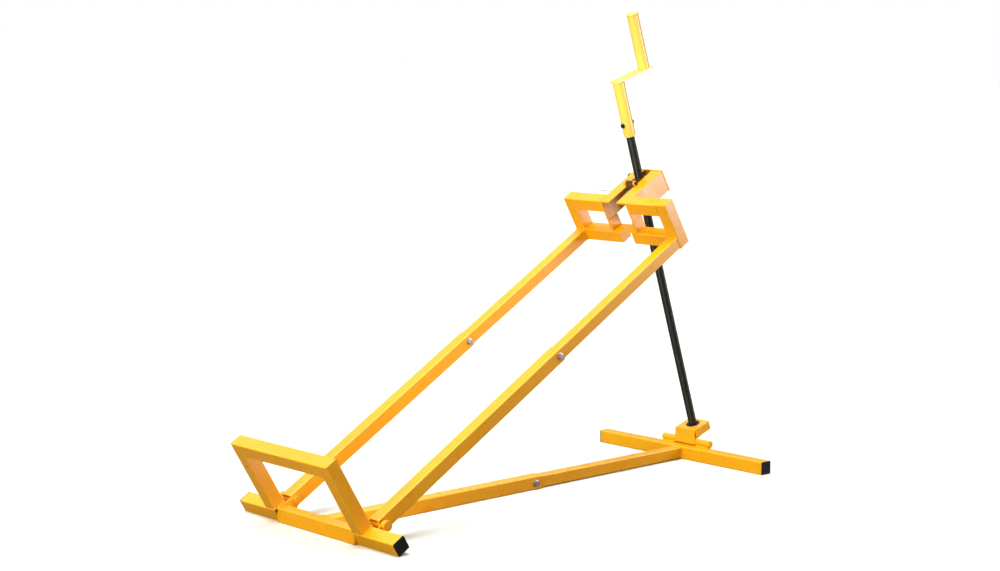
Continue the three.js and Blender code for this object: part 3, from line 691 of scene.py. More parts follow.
class Nodes:
    """Short calls that place and link the nodes of one material."""

    def __init__(self, name: str) -> None:
        """Starts a material with an empty tree.

        Args:
            name: the material's name.
        """
        self.material = bpy.data.materials.new(name)
        self.material.use_nodes = True
        self.tree = self.material.node_tree
        self.tree.nodes.clear()
        self.shader = self.add("ShaderNodeBsdfPrincipled")
        output = self.add("ShaderNodeOutputMaterial")
        self.link(self.shader.outputs["BSDF"], output.inputs["Surface"])
        self.place = self.add("ShaderNodeTexCoord").outputs["Object"]

    def add(self, kind: str, **values: str) -> bpy.types.Node:
        """Adds a node and sets the given properties on it.

        Args:
            kind: the node's type.
            values: its properties by name.

        Returns:
            The node.
        """
        node = self.tree.nodes.new(kind)
        for key, value in values.items():
            setattr(node, key, value)
        return node

    def link(self, source: Socket, target: Socket) -> None:
        """Links an output to an input."""
        self.tree.links.new(source, target)

    def stretched(self, scale: Triple) -> Socket:
        """Object coordinates scaled by axis.

        Args:
            scale: the scale along each axis.

        Returns:
            The scaled coordinates.
        """
        mapping = self.add("ShaderNodeMapping")
        mapping.inputs["Scale"].default_value = scale
        self.link(self.place, mapping.inputs["Vector"])
        return mapping.outputs["Vector"]

    def noise(self, scale: float, detail: float, rough: float = 0.5, vector: Socket | None = None) -> Socket:
        """A noise pattern.

        Args:
            scale: how many of its cells lie on a metre.
            detail: how many octaves it has.
            rough: how strong the fine ones are.
            vector: coordinates other than the object's own.

        Returns:
            The pattern's factor.
        """
        node = self.add("ShaderNodeTexNoise")
        node.inputs["Scale"].default_value = scale
        node.inputs["Detail"].default_value = detail
        node.inputs["Roughness"].default_value = rough
        self.link(vector or self.place, node.inputs["Vector"])
        return node.outputs["Fac"]

    def ranged(self, value: Socket, low: float, high: float, to_low: float, to_high: float) -> Socket:
        """A value mapped from one range to another, clamped.

        Args:
            value: the value.
            low: start of its range.
            high: end of its range.
            to_low: what the start becomes.
            to_high: what the end becomes.

        Returns:
            The mapped value.
        """
        node = self.add("ShaderNodeMapRange")
        for key, number in (("From Min", low), ("From Max", high), ("To Min", to_low), ("To Max", to_high)):
            node.inputs[key].default_value = number
        self.link(value, node.inputs["Value"])
        return node.outputs["Result"]

    def times(self, a: Socket, b: Socket | float, operation: str = "MULTIPLY") -> Socket:
        """Two values combined by a math operation.

        Args:
            a: the first value.
            b: the second, which may be a number.
            operation: the operation's name.

        Returns:
            The result.
        """
        node = self.add("ShaderNodeMath", operation=operation)
        self.link(a, node.inputs[0])
        if isinstance(b, (int, float)):
            node.inputs[1].default_value = b
        else:
            self.link(b, node.inputs[1])
        return node.outputs["Value"]

    def attribute(self, name: str) -> Socket:
        """One of the mesh's own values: wear is 1 on rounded edges, slot_shade is 1 where shade is painted in
        the head's slot.
        """
        return self.add("ShaderNodeAttribute", attribute_name=name).outputs["Fac"]

    def wear(self) -> Socket:
        """The mesh's own wear value."""
        return self.attribute("wear")

    def mixed(self, factor: Socket, a: Socket | Triple, b: Socket | Triple) -> Socket:
        """Two colours mixed by a factor.

        Args:
            factor: 0 for the first colour, 1 for the second.
            a: the first colour.
            b: the second colour.

        Returns:
            The mixed colour.
        """
        node = self.add("ShaderNodeMix", data_type="RGBA")
        self.link(factor, node.inputs["Factor"])
        for socket, colour in ((node.inputs[6], a), (node.inputs[7], b)):
            if isinstance(colour, tuple):
                socket.default_value = (*colour, 1.0)
            else:
                self.link(colour, socket)
        return node.outputs[2]

    def bumped(self, layers: Sequence[tuple[Socket, float, float]]) -> None:
        """Chains bump nodes onto the shader's normal.

        Args:
            layers: (height socket, strength, distance in metres) from the lowest layer up.
        """
        normal = None
        for height, strength, distance in layers:
            node = self.add("ShaderNodeBump")
            node.inputs["Strength"].default_value = strength
            node.inputs["Distance"].default_value = distance
            self.link(height, node.inputs["Height"])
            if normal is not None:
                self.link(normal, node.inputs["Normal"])
            normal = node.outputs["Normal"]
        self.link(normal, self.shader.inputs["Normal"])

    def constant(self, **values: float) -> None:
        """Sets shader sockets that are the same all over; an underscore stands for a space."""
        for key, value in values.items():
            self.shader.inputs[key.replace("_", " ")].default_value = value


@dataclass(frozen=True)
class PowderCoat:
    """Golden yellow powder coat: gloss, fine orange peel, paler where it thins over edges, and painted shade
    on the head's slot walls.
    """

    word: ClassVar[str] = "painted"
    slot: ClassVar[Slot] = Slot.YELLOW
    name: str = "golden_powder_coat"
    colour: Triple = (0.92, 0.415, 0.003)
    deeper: Triple = (0.88, 0.385, 0.002)
    edge: Triple = (0.95, 0.48, 0.015)
    chip: Triple = (0.30, 0.13, 0.02)
    # Dark brown painted shade for the walls of the head's slot.
    grease_and_shade: Triple = (0.10, 0.024, 0.002)
    gloss: float = 0.30

    def material(self) -> bpy.types.Material:
        """Builds the finish's nodes.

        Returns:
            The material.
        """
        n = Nodes(self.name)
        cloud = n.ranged(n.noise(7.0, 4.0), 0.35, 0.65, 0.0, 1.0)
        body = n.mixed(cloud, self.colour, self.deeper)
        fleck = n.ranged(n.noise(420.0, 2.0), 0.62, 0.75, 0.0, 0.16)
        body = n.mixed(fleck, body, self.edge)
        # Painted shade: dark brown on the head's slot walls, a little mottled; the coat is also rougher
        # there.
        painted_shade = n.times(n.attribute("slot_shade"), n.ranged(n.noise(60.0, 4.0), 0.2, 0.6, 0.75, 1.0))
        body = n.mixed(painted_shade, body, self.grease_and_shade)
        wear = n.wear()
        thin = n.times(wear, n.ranged(n.noise(90.0, 3.0), 0.35, 0.6, 0.15, 0.75))
        body = n.mixed(thin, body, self.edge)
        chipped = n.times(wear, n.ranged(n.noise(210.0, 5.0, 0.65), 0.70, 0.73, 0.0, 1.0))
        body = n.mixed(chipped, body, self.chip)
        n.link(body, n.shader.inputs["Base Color"])
        haze = n.ranged(n.noise(24.0, 5.0), 0.3, 0.7, self.gloss - 0.05, self.gloss + 0.08)
        dulled = n.times(n.times(chipped, 0.3), n.times(painted_shade, 0.55), "ADD")
        n.link(n.times(haze, dulled, "ADD"), n.shader.inputs["Roughness"])
        peel = n.noise(330.0, 1.5)
        grit = n.noise(1500.0, 2.0)
        n.bumped([(peel, 0.025, 0.0003), (grit, 0.03, 0.0001), (n.times(chipped, -1.0), 0.25, 0.0004)])
        n.constant(Metallic=0.0, Specular_IOR_Level=0.5, Coat_Weight=0.15, Coat_Roughness=0.16, Coat_IOR=1.5)
        return n.material


@dataclass(frozen=True)
class MouldedCap:
    """Black moulded plastic with a fine spark-eroded grain."""

    word: ClassVar[str] = "moulded"
    slot: ClassVar[Slot] = Slot.CAP
    name: str = "moulded_black"
    colour: Triple = (0.0035, 0.0035, 0.0035)
    worn: Triple = (0.016, 0.016, 0.015)

    def material(self) -> bpy.types.Material:
        """Builds the finish's nodes.

        Returns:
            The material.
        """
        n = Nodes(self.name)
        scuff = n.times(n.wear(), n.ranged(n.noise(160.0, 4.0), 0.45, 0.7, 0.0, 0.9))
        n.link(n.mixed(scuff, self.colour, self.worn), n.shader.inputs["Base Color"])
        n.link(n.ranged(n.noise(60.0, 4.0), 0.3, 0.7, 0.52, 0.7), n.shader.inputs["Roughness"])
        n.bumped([(n.noise(1400.0, 3.0), 0.35, 0.0003), (n.noise(90.0, 2.0), 0.05, 0.0005)])
        n.constant(Metallic=0.0, Specular_IOR_Level=0.25)
        return n.material


@dataclass(frozen=True)
class ZincPlate:
    """Bright zinc plate: pale grey metal with faint mottling and fine handling scratches."""

    word: ClassVar[str] = "plated"
    slot: ClassVar[Slot] = Slot.ZINC
    name: str = "bright_zinc"
    colour: Triple = (0.66, 0.67, 0.69)
    dull: Triple = (0.42, 0.43, 0.45)

    def material(self) -> bpy.types.Material:
        """Builds the finish's nodes.

        Returns:
            The material.
        """
        n = Nodes(self.name)
        mottle = n.ranged(n.noise(180.0, 4.0, 0.6), 0.35, 0.7, 0.0, 1.0)
        body = n.mixed(mottle, self.colour, self.dull)
        n.link(body, n.shader.inputs["Base Color"])
        scratch = n.noise(900.0, 3.0, 0.6, n.stretched((1.0, 0.12, 1.0)))
        n.link(n.ranged(scratch, 0.3, 0.7, 0.22, 0.42), n.shader.inputs["Roughness"])
        n.bumped([(scratch, 0.12, 0.0002), (n.noise(260.0, 2.0), 0.05, 0.0003)])
        n.constant(Metallic=1.0)
        return n.material


@dataclass(frozen=True)
class BlackenedSteel:
    """Black-oxide steel under a film of oil, rubbed paler on crests and edges."""

    word: ClassVar[str] = "blackened"
    slot: ClassVar[Slot] = Slot.DARK
    name: str = "blackened_steel"
    colour: Triple = (0.005, 0.005, 0.005)
    rubbed: Triple = (0.032, 0.031, 0.029)
    gloss: float = 0.33

    def material(self) -> bpy.types.Material:
        """Builds the finish's nodes.

        Returns:
            The material.
        """
        n = Nodes(self.name)
        patch = n.ranged(n.noise(30.0, 4.0), 0.35, 0.7, 0.0, 0.35)
        body = n.mixed(patch, self.colour, self.rubbed)
        rub = n.times(n.wear(), n.ranged(n.noise(140.0, 4.0), 0.3, 0.75, 0.1, 0.7))
        n.link(n.mixed(rub, body, self.rubbed), n.shader.inputs["Base Color"])
        film = n.noise(45.0, 5.0, 0.6)
        n.link(n.ranged(film, 0.3, 0.7, self.gloss - 0.08, self.gloss + 0.12), n.shader.inputs["Roughness"])
        n.bumped([(n.noise(700.0, 3.0), 0.12, 0.0002), (n.noise(2400.0, 2.0), 0.10, 0.0001)])
        n.constant(Metallic=0.2, Specular_IOR_Level=0.4)
        return n.material


@dataclass(frozen=True)
class GreasedNut(BlackenedSteel):
    """The travelling nut: dark brown steel, greased and a little glossier."""

    word: ClassVar[str] = "grease_and_shade"
    name: str = "greased_nut_steel"
    colour: Triple = (0.075, 0.026, 0.008)
    rubbed: Triple = (0.26, 0.13, 0.07)
    gloss: float = 0.34


class Finish(Enum):
    """The lift's finishes; each has a word for its pieces' names and its slot in the record."""

    YELLOW = PowderCoat()
    # A paler, bluer copy of the yellow coat for the crank and grip: painted light for the brighter,
    # washed-out light on them.
    YELLOW_PAINTED_LIGHT = PowderCoat("yellow_coat_painted_light", colour=(0.90, 0.60, 0.10), deeper=(0.86, 0.55, 0.08),
                      edge=(0.95, 0.68, 0.16))
    CAP = MouldedCap()
    ZINC = ZincPlate()
    DARK = BlackenedSteel()
    NUT = GreasedNut()


# Pieces


def share_of_way(at: np.ndarray, way: tuple[float, float]) -> np.ndarray:
    """How far each value has come from the first end of a way to its last, clamped to 0 and 1."""
    return np.clip((at - way[0]) / (way[1] - way[0]), 0, 1)


@dataclass(frozen=True)
class SlotShade:
    """Painted shade on the walls of the head's slot that face the thread, in the arm's frame: darker away
    from the slot's open front and higher up.
    """

    across: tuple[float, float] = (52.5, 50.0)
    along: tuple[float, float] = (1380.0, 1415.0)
    up: tuple[float, float] = (50.0, 110.0)
    edge: float = 1378.5
    levels: tuple[float, float] = (44.0, 149.0)
    least: float = 0.25

    def on(self, points: np.ndarray) -> np.ndarray:
        """How much painted shade lies on each point.

        It is the share of the way across, times the shares of the ways along and up, which start at
        least. Behind the edge and outside the levels there is none.

        Args:
            points: points (n, 3) in the arm's frame.

        Returns:
            Values (n,) from 0 to 1.
        """
        x, y, z = points[:, 0], np.abs(points[:, 1]), points[:, 2]
        rise = 1 - self.least
        along = self.least + rise * share_of_way(x, self.along)
        up = self.least + rise * share_of_way(z, self.up)
        low, high = self.levels
        return share_of_way(y, self.across) * along * up * (x > self.edge) * (z > low) * (z < high)


class Bench:
    """Turns shells into finished pieces and keeps the materials they share."""

    def __init__(self) -> None:
        """Builds every finish once."""
        self.materials = {finish: finish.value.material() for finish in Finish}
        # Where shade is painted on the walls of the head's slot.
        self.slot_shade = SlotShade()
        self.count = 0

    def mesh(self, name: str, shell: Shell, place: Place) -> bpy.types.Mesh:
        """Puts a shell's arrays into a mesh.

        Args:
            name: the mesh's name.
            shell: the shell in its sub-assembly's frame.
            place: that frame.

        Returns:
            The mesh in the row's frame, smooth, with its wear and its painted slot shade as point attributes.
        """
        mesh = bpy.data.meshes.new(name)
        corners = np.concatenate([shell.quads.reshape(-1), shell.triangles.reshape(-1)]).astype(np.int32)
        sizes = np.concatenate([np.full(len(shell.quads), 4), np.full(len(shell.triangles), 3)])
        starts = np.concatenate([[0], np.cumsum(sizes)[:-1]]).astype(np.int32)
        mesh.vertices.add(len(shell.points))
        mesh.vertices.foreach_set("co", place.world(shell.points).astype(np.float32).reshape(-1))
        mesh.loops.add(len(corners))
        mesh.loops.foreach_set("vertex_index", corners)
        mesh.polygons.add(len(sizes))
        mesh.polygons.foreach_set("loop_start", starts)
        mesh.polygons.foreach_set("use_smooth", np.ones(len(sizes), bool))
        mesh.update(calc_edges=True)
        mesh.validate()
        # Painted shade in the head's slot, on the arm's pieces only.
        slot_shade = self.slot_shade.on(shell.points) if place is TILTED else np.zeros(len(shell.points))
        for key, values in (("wear", shell.wear), ("slot_shade", slot_shade)):
            mesh.attributes.new(key, "FLOAT", "POINT").data.foreach_set("value", values.astype(np.float32))
        return mesh

    def piece(self, name: str, shells: Shell | Sequence[Shell], place: Place, body: Body,
              finish: Finish, nodes: Sequence[str] = ()) -> None:
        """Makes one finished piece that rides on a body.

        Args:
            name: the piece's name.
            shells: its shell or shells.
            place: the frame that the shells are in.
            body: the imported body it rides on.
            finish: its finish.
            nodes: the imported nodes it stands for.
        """
        shell = shells if isinstance(shells, Shell) else joined(shells)
        item = bpy.data.objects.new(name, self.mesh(name, shell, place))
        bpy.context.scene.collection.objects.link(item)
        item.data.materials.append(self.materials[finish])
        shade = item.modifiers.new("even_faces", "WEIGHTED_NORMAL")
        shade.keep_sharp = True
        shade.weight = 50
        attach(item, body.value)
        if nodes:
            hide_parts(*nodes)
        self.count += 1
        LOG.info("%s: %d points on %s", name, len(shell.points), body.value)


@dataclass(frozen=True)
class Jig:
    """The bench set up for one sub-assembly: the frame its shells are in and the body they ride on."""

    bench: Bench
    place: Place
    body: Body

    def make(self, node: str, shells: Shell | Sequence[Shell], finish: Finish = Finish.YELLOW) -> None:
        """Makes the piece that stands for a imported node, named for the node and the finish's word."""
        self.bench.piece(f"{node}_{finish.value.word}", shells, self.place, self.body, finish, [node])

    def weld(self, name: str, shells: Shell | Sequence[Shell]) -> None:
        """Makes painted weld beads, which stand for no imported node."""
        self.bench.piece(name, shells, self.place, self.body, Finish.YELLOW)


# Tube, caps and bolts


@dataclass(frozen=True)
class Stock:
    """The tube that the whole frame shares, and the clearance between its pieces."""

    tube: float = 40.0
    insert: float = 35.4
    wall: float = 2.0
    corner: float = 3.0
    gap: float = 0.3
    overlap: float = 90.0
    cut_edge: float = 0.45

    def bar(self, axis: Axis, u: float, v: float, low: float, high: float, size: float | None = None,
            hollow: bool = True, ease: float = 0.7) -> Shell:
        """A length of square tube.

        Args:
            axis: the axis it runs along.
            u: its middle, first coordinate across, x for an outline along Y.
            v: its middle, second coordinate across.
            low: level of its low end.
            high: level of its high end.
            size: outer width, the full tube's if None.
            hollow: whether its ends are open.
            ease: radius of the sawn and filed end edges, at most the cut edge's on an open end.

        Returns:
            The tube's shell.
        """
        width = self.tube if size is None else size
        outline = square(u, v, width, self.corner)
        if not hollow:
            return carried(axis, outline, low, high, (), ease, 1.2)
        bore = Hole(square(u, v, width - 2 * self.wall, self.corner - self.wall))
        return carried(axis, outline, low, high, [bore], min(ease, self.cut_edge), 0.35)


STOCK = Stock()


@dataclass(frozen=True)
class EndCap:
    """A square end plug: dished plate, bedding rib and plug."""

    plate: float = 3.0
    dish: float = 25.0
    dish_corner: float = 2.5
    dish_floor: float = 1.9
    corner: float = 1.8
    rib_over: float = 0.4
    rib_lap: float = 0.05
    rib: float = 3.0
    plug_under: float = 0.6
    plug: tuple[float, float] = (2.0, 18.0)

    def shell(self, x: float, z: float, end: float) -> Shell:
        """The plug in the left end of a tube along Y.

        Args:
            x: the tube's middle.
            z: the tube's middle level.
            end: how far out the tube's end lies.

        Returns:
            The plug's shell.
        """
        rib = square(x, z, STOCK.insert + self.rib_over, self.corner)
        plug = square(x, z, STOCK.insert - self.plug_under, self.corner)
        dish = Hole(square(x, z, self.dish, self.dish_corner), -end - self.dish_floor)
        near, far = self.plug
        face = square(x, z, STOCK.tube, STOCK.corner)
        shells = [
            carried(Axis.Y, face, -end - self.plate, -end, [dish], 1.0, 0.8),
            carried(Axis.Y, rib, -end - self.rib_lap, -end + self.rib, (), 0.3, 0.3),
            carried(Axis.Y, plug, -end + near, -end + far, (), 0.8, 0.8),
        ]
        return joined([shell.mirrored() for shell in shells])


@dataclass(frozen=True)
class CrossBolt:
    """A hexagon bolt along Y: washers, a domed head on the low side, nut and thread on the high side."""

    radius: float = 5.0
    flats: float = 17.0
    washer_r: tuple[float, float] = (5.2, 10.4)
    washer: float = 1.5
    head: float = 6.4
    nut: float = 8.0
    nut_bore: float = 4.6
    thread: tuple[float, float] = (0.5, 11.0)
    depth: float = 0.75
    pitch: float = 1.5
    crest_share: float = 0.16
    flank_share: float = 0.34
    shank_under: float = 0.2
    shank: tuple[float, float] = (3.0, 1.0)
    dome: tuple[tuple[float, float], ...] = ((0.0, 6.3), (6.6, 6.3), (5.9, 6.65), (0.0, 6.75))

    def shells(self, x: float, z: float, low: float, high: float) -> list[Shell]:
        """The bolt through a tube.

        Args:
            x: the bolt's axis.
            z: the level of its axis.
            low: the tube's face on the head's side.
            high: the tube's face on the nut's side.

        Returns:
            The shells of washers, head, nut, thread, shank and dome.
        """
        low, high, at = low - STOCK.gap, high + STOCK.gap, (x, z)
        near = sleeve(Axis.Y, *self.washer_r, low, low - self.washer, at, 0.3)
        far = sleeve(Axis.Y, *self.washer_r, high, high + self.washer, at, 0.3)
        head = hexed(Axis.Y, self.flats, low - self.washer, low - self.head, at)
        nut = hexed(Axis.Y, self.flats, high + self.washer, high + self.nut, at, True, self.nut_bore)
        start, end = self.thread
        thread = threaded(self.radius, self.depth, self.pitch, high + start, high + end,
                          self.crest_share, self.flank_share, 32)
        shank = turned(Axis.Y, rod(self.radius - self.shank_under, low - self.shank[0], high + self.shank[1]),
                       at, 0.2)
        dome = turned(Axis.Y, [(r, low - depth) for r, depth in self.dome], at, 0.3)
        return [near, far, head, nut, turned_to(thread, Axis.Y, at), shank, dome]


CAP = EndCap()
BOLT = CrossBolt()


def rod(radius: float, low: float, high: float) -> list[tuple[float, float]]:
    """The profile of a plain rod."""
    return [(0.0, low), (radius, low), (radius, high), (0.0, high)]


def headed(shank: float, head: float, neck: float, thick: float,
           bevel: tuple[float, float]) -> list[tuple[float, float]]:
    """The profile of a pin with a bevelled head on both ends, even about level 0.

    Args:
        shank: the shank's radius.
        head: the heads' radius.
        neck: level where a head starts.
        thick: thickness of a head.
        bevel: the bevel's width and height.

    Returns:
        Pairs of radius and level.
    """
    end = neck + thick
    upper = [(shank, neck), (head, neck), (head, end - bevel[1]), (head - bevel[0], end), (0.0, end)]
    return [(r, -level) for r, level in reversed(upper)] + upper


def sleeve(axis: Axis, bore: float, radius: float, low: float, high: float, at: tuple[float, float],
           ease: float, segments: int = 56) -> Shell:
    """A round tube about an axis, by its bore, its radius and the levels of its ends."""
    profile = [(bore, low), (radius, low), (radius, high), (bore, high)]
    return turned(axis, profile, at, ease, True, segments)


def turned_to(shell: Shell, axis: Axis, at: tuple[float, float]) -> Shell:
    """A shell made about the Z axis, put about another axis through a point."""
    u, v = (at[1], at[0]) if axis is Axis.Y else at
    return Shell(axis.carry(shell.points + np.array([u, v, 0.0])), shell.wear, shell.quads, shell.triangles)


def clipped_above_floor(shell: Shell) -> Shell:
    """The shell with nothing under the floor: levels below 0 are pressed up to 0."""
    return shell.bent(lambda p: np.column_stack([p[:, 0], p[:, 1], np.maximum(p[:, 2], 0.0)]))


def mitred(points: np.ndarray, along: int, across: int, beyond: float, middle: float) -> np.ndarray:
    """Shears the ends of a straight bar to a 45 degree mitre.

    Points farther than beyond along the bar move on by their distance across from the middle.

    Args:
        points: the bar's points (n, 3).
        along: the bar's own axis.
        across: the axis that the mitre leans to.
        beyond: distance along the bar where its ends start.
        middle: the bar's middle across.

    Returns:
        The sheared points.
    """
    moved = points.copy()
    reach = np.sign(points[:, along]) * (np.abs(points[:, across]) - middle)
    ends = points[:, along] > beyond
    if along == 1:
        ends = np.abs(points[:, along]) > beyond
    moved[ends, along] += reach[ends]
    return moved


# Sub-assemblies


@dataclass(frozen=True)
class LevelBase:
    """Rear cross tube, telescoping beam and wide front foot, all on the floor."""

    cross_half: float = 165.0
    hinge: tuple[float, float] = (62.2553, 51.7726)
    lug: float = 5.0
    lug_low: float = 2.0
    lug_boss: float = 14.0
    lug_bore: float = 7.3
    pin_r: float = 7.0
    pin_ring: tuple[float, float] = (11.0, 3.0)
    pin_head: tuple[float, float] = (218.5, 232.0)
    pin_head_r: float = 15.0
    pin_bevel: float = 1.2
    pin_mark: tuple[float, float] = (2.4, 1.6)
    beam_seam: float = 820.0
    beam_bolt: float = 791.0
    foot_x: float = 1428.0
    foot_half: float = 341.0
    foot_hinge: tuple[float, float] = (1472.0, 51.7726)
    barrel: tuple[float, float] = (42.0, 98.0)
    barrel_r: tuple[float, float] = (5.3, 11.0)
    foot_pin_r: tuple[float, float] = (5.0, 8.0)
    foot_pin_head: float = 1.2
    barrel_beads: tuple[tuple[float, float, float], ...] = ((9.5, 41.4, 2.6), (3.2, 37.5, 2.4))
    seat: tuple[float, float] = (31.0, 40.3)
    seat_wide: float = 5.5

    def build(self, bench: Bench) -> None:
        """Makes every piece of the base.

        Args:
            bench: the bench that makes and dresses its pieces.
        """
        jig = Jig(bench, LEVEL, Body.BASE)
        for step in (self.rear, self.beam, self.foot, self.welds):
            step(jig)

    def rear(self, jig: Jig) -> None:
        """Makes the cross tube, its two lugs and the two hinge pins.

        Args:
            jig: the jig for the base.
        """
        half, near = STOCK.tube / 2, self.cross_half + STOCK.gap
        jig.make("rear_cross_tube", STOCK.bar(Axis.Y, half, half, -self.cross_half, self.cross_half))
        boss = arc(*self.hinge, self.lug_boss, -45, 120, 24)
        corners = [(0.0, self.lug_low), (STOCK.tube, self.lug_low), *boss, (0.0, STOCK.tube)]
        outline = eased(corners, [3.0, 3.0, *([0.0] * len(boss)), 4.0])
        bore = Hole(circle(*self.hinge, self.lug_bore))
        for name, sign in SIDES:
            plate = carried(Axis.Y, outline, near, near + self.lug, [bore], 0.6, 0.8)
            jig.make(f"rear_lug_{name}", plate.sided(sign))
            jig.make(f"rear_pin_{name}", self.pin().sided(sign))

    def pin(self) -> Shell:
        """The left hinge pin: inner ring, shank and round head with a chamfer and a centre mark.

        Returns:
            The pin's shell on the rear hinge's axis.
        """
        r, head_r, bevel, start = self.pin_r, self.pin_head_r, self.pin_bevel, self.cross_half
        ring_r, ring = self.pin_ring
        head, out = self.pin_head
        mark_r, mark = self.pin_mark
        profile = [(0, start - ring), (ring_r, start - ring), (ring_r, start), (r, start),
                   (r, head), (head_r, head), (head_r, out - bevel), (head_r - bevel, out),
                   (mark_r, out), (0, out - mark)]
        return turned(Axis.Y, profile, self.hinge, [0, 0.6, 0.4, 0.3, 0.3, 0.6, 0.5, 0.5, 0.3, 0])

    def beam(self, jig: Jig) -> None:
        """Makes the beam's two lengths and the bolt through them.

        Args:
            jig: the jig for the base.
        """
        half, inside = STOCK.tube / 2, self.beam_seam - STOCK.overlap
        rear = STOCK.bar(Axis.X, 0.0, half, STOCK.tube + STOCK.gap, self.beam_seam)
        front = STOCK.bar(Axis.X, 0.0, half, inside, self.foot_x - STOCK.gap, STOCK.insert)
        jig.make("base_beam_rear", rear)
        jig.make("base_beam_front", front)
        jig.make("base_beam_bolt", BOLT.shells(self.beam_bolt, half, -half, half), Finish.ZINC)

    def foot(self, jig: Jig) -> None:
        """Makes the wide foot, its caps, the fixed barrels and their pin.

        Args:
            jig: the jig for the base.
        """
        x, z = self.foot_x + STOCK.tube / 2, STOCK.tube / 2
        reach = self.foot_half - STOCK.gap
        jig.make("front_foot_tube", STOCK.bar(Axis.Y, x, z, -reach, reach))
        for name, sign in SIDES:
            jig.make(f"front_foot_cap_{name}", CAP.shell(x, z, self.foot_half).sided(sign), Finish.CAP)
            barrel = sleeve(Axis.Y, *self.barrel_r, *self.barrel, self.foot_hinge, 0.8)
            jig.make(f"foot_barrel_{name}", barrel.sided(sign))
        pin = headed(*self.foot_pin_r, self.barrel[1] + STOCK.gap, self.foot_pin_head, (0.7, 0.7))
        jig.make("foot_hinge_pin", turned(Axis.Y, pin, self.foot_hinge, 0.3))

    def welds(self, jig: Jig) -> None:
        """Makes the base's weld beads and the seat strip under the foot's barrels.

        Args:
            jig: the jig for the base.
        """
        half = STOCK.tube / 2
        cross = seam(Axis.X, 0.0, half, STOCK.tube, STOCK.tube + 0.4)
        lugs = [seam(Axis.Y, half, half, STOCK.tube, self.cross_half - 0.2, 1.9).sided(s) for _, s in SIDES]
        jig.weld("rear_welds", [clipped_above_floor(shell) for shell in (cross, *lugs)])
        front = clipped_above_floor(seam(Axis.X, 0.0, half, STOCK.insert, self.foot_x - 0.4, 2.0))
        low, high = self.barrel
        rows = []
        for _, sign in SIDES:
            for behind, level, radius in self.barrel_beads:
                x = self.foot_hinge[0] - behind
                rows.append(run((x, sign * (low + 2), level), (x, sign * (high - 2), level), radius))
        edge = self.foot_x + STOCK.tube + STOCK.gap
        outline = rectangle((edge, edge + self.seat_wide), self.seat, 0.8)
        jig.weld("foot_welds", [front, carried(Axis.Y, outline, -high, high, (), 0.6, 0.8), *rows])


@dataclass(frozen=True)
class LiftArm:
    """The two telescoping arm tubes with their bolts and hinge barrels."""

    inner: float = 171.5
    start: float = 62.0
    seam_x: float = 824.0
    bolt_x: float = 811.0
    head_x: float = 1378.0
    hinge: tuple[float, float] = (70.0, 20.0)
    barrel_r: tuple[float, float] = (7.1, 15.0)

    def build(self, bench: Bench) -> None:
        """Makes both sides of the arm.

        Args:
            bench: the bench that makes and dresses its pieces.
        """
        jig = Jig(bench, TILTED, Body.ARM)
        half, outer = STOCK.tube / 2, self.inner + STOCK.tube
        middle, inside = self.inner + half, self.seam_x - STOCK.overlap
        for name, sign in SIDES:
            lower = STOCK.bar(Axis.X, middle, half, self.start, self.seam_x)
            upper = STOCK.bar(Axis.X, middle, half, inside, self.head_x - STOCK.gap, STOCK.insert)
            jig.make(f"arm_tube_lower_{name}", lower.sided(sign))
            jig.make(f"arm_tube_upper_{name}", upper.sided(sign))
            low, high = (self.inner, outer) if sign > 0 else (-outer, -self.inner)
            jig.make(f"arm_bolt_{name}", BOLT.shells(self.bolt_x, half, low, high), Finish.ZINC)
            barrel = sleeve(Axis.Y, *self.barrel_r, self.inner, outer, self.hinge, 0.9)
            jig.make(f"arm_barrel_{name}", barrel.sided(sign))
            joint = seam(Axis.X, middle, half, STOCK.insert, self.head_x - 0.4, 2.0)
            jig.weld(f"arm_welds_{name}", joint.sided(sign))


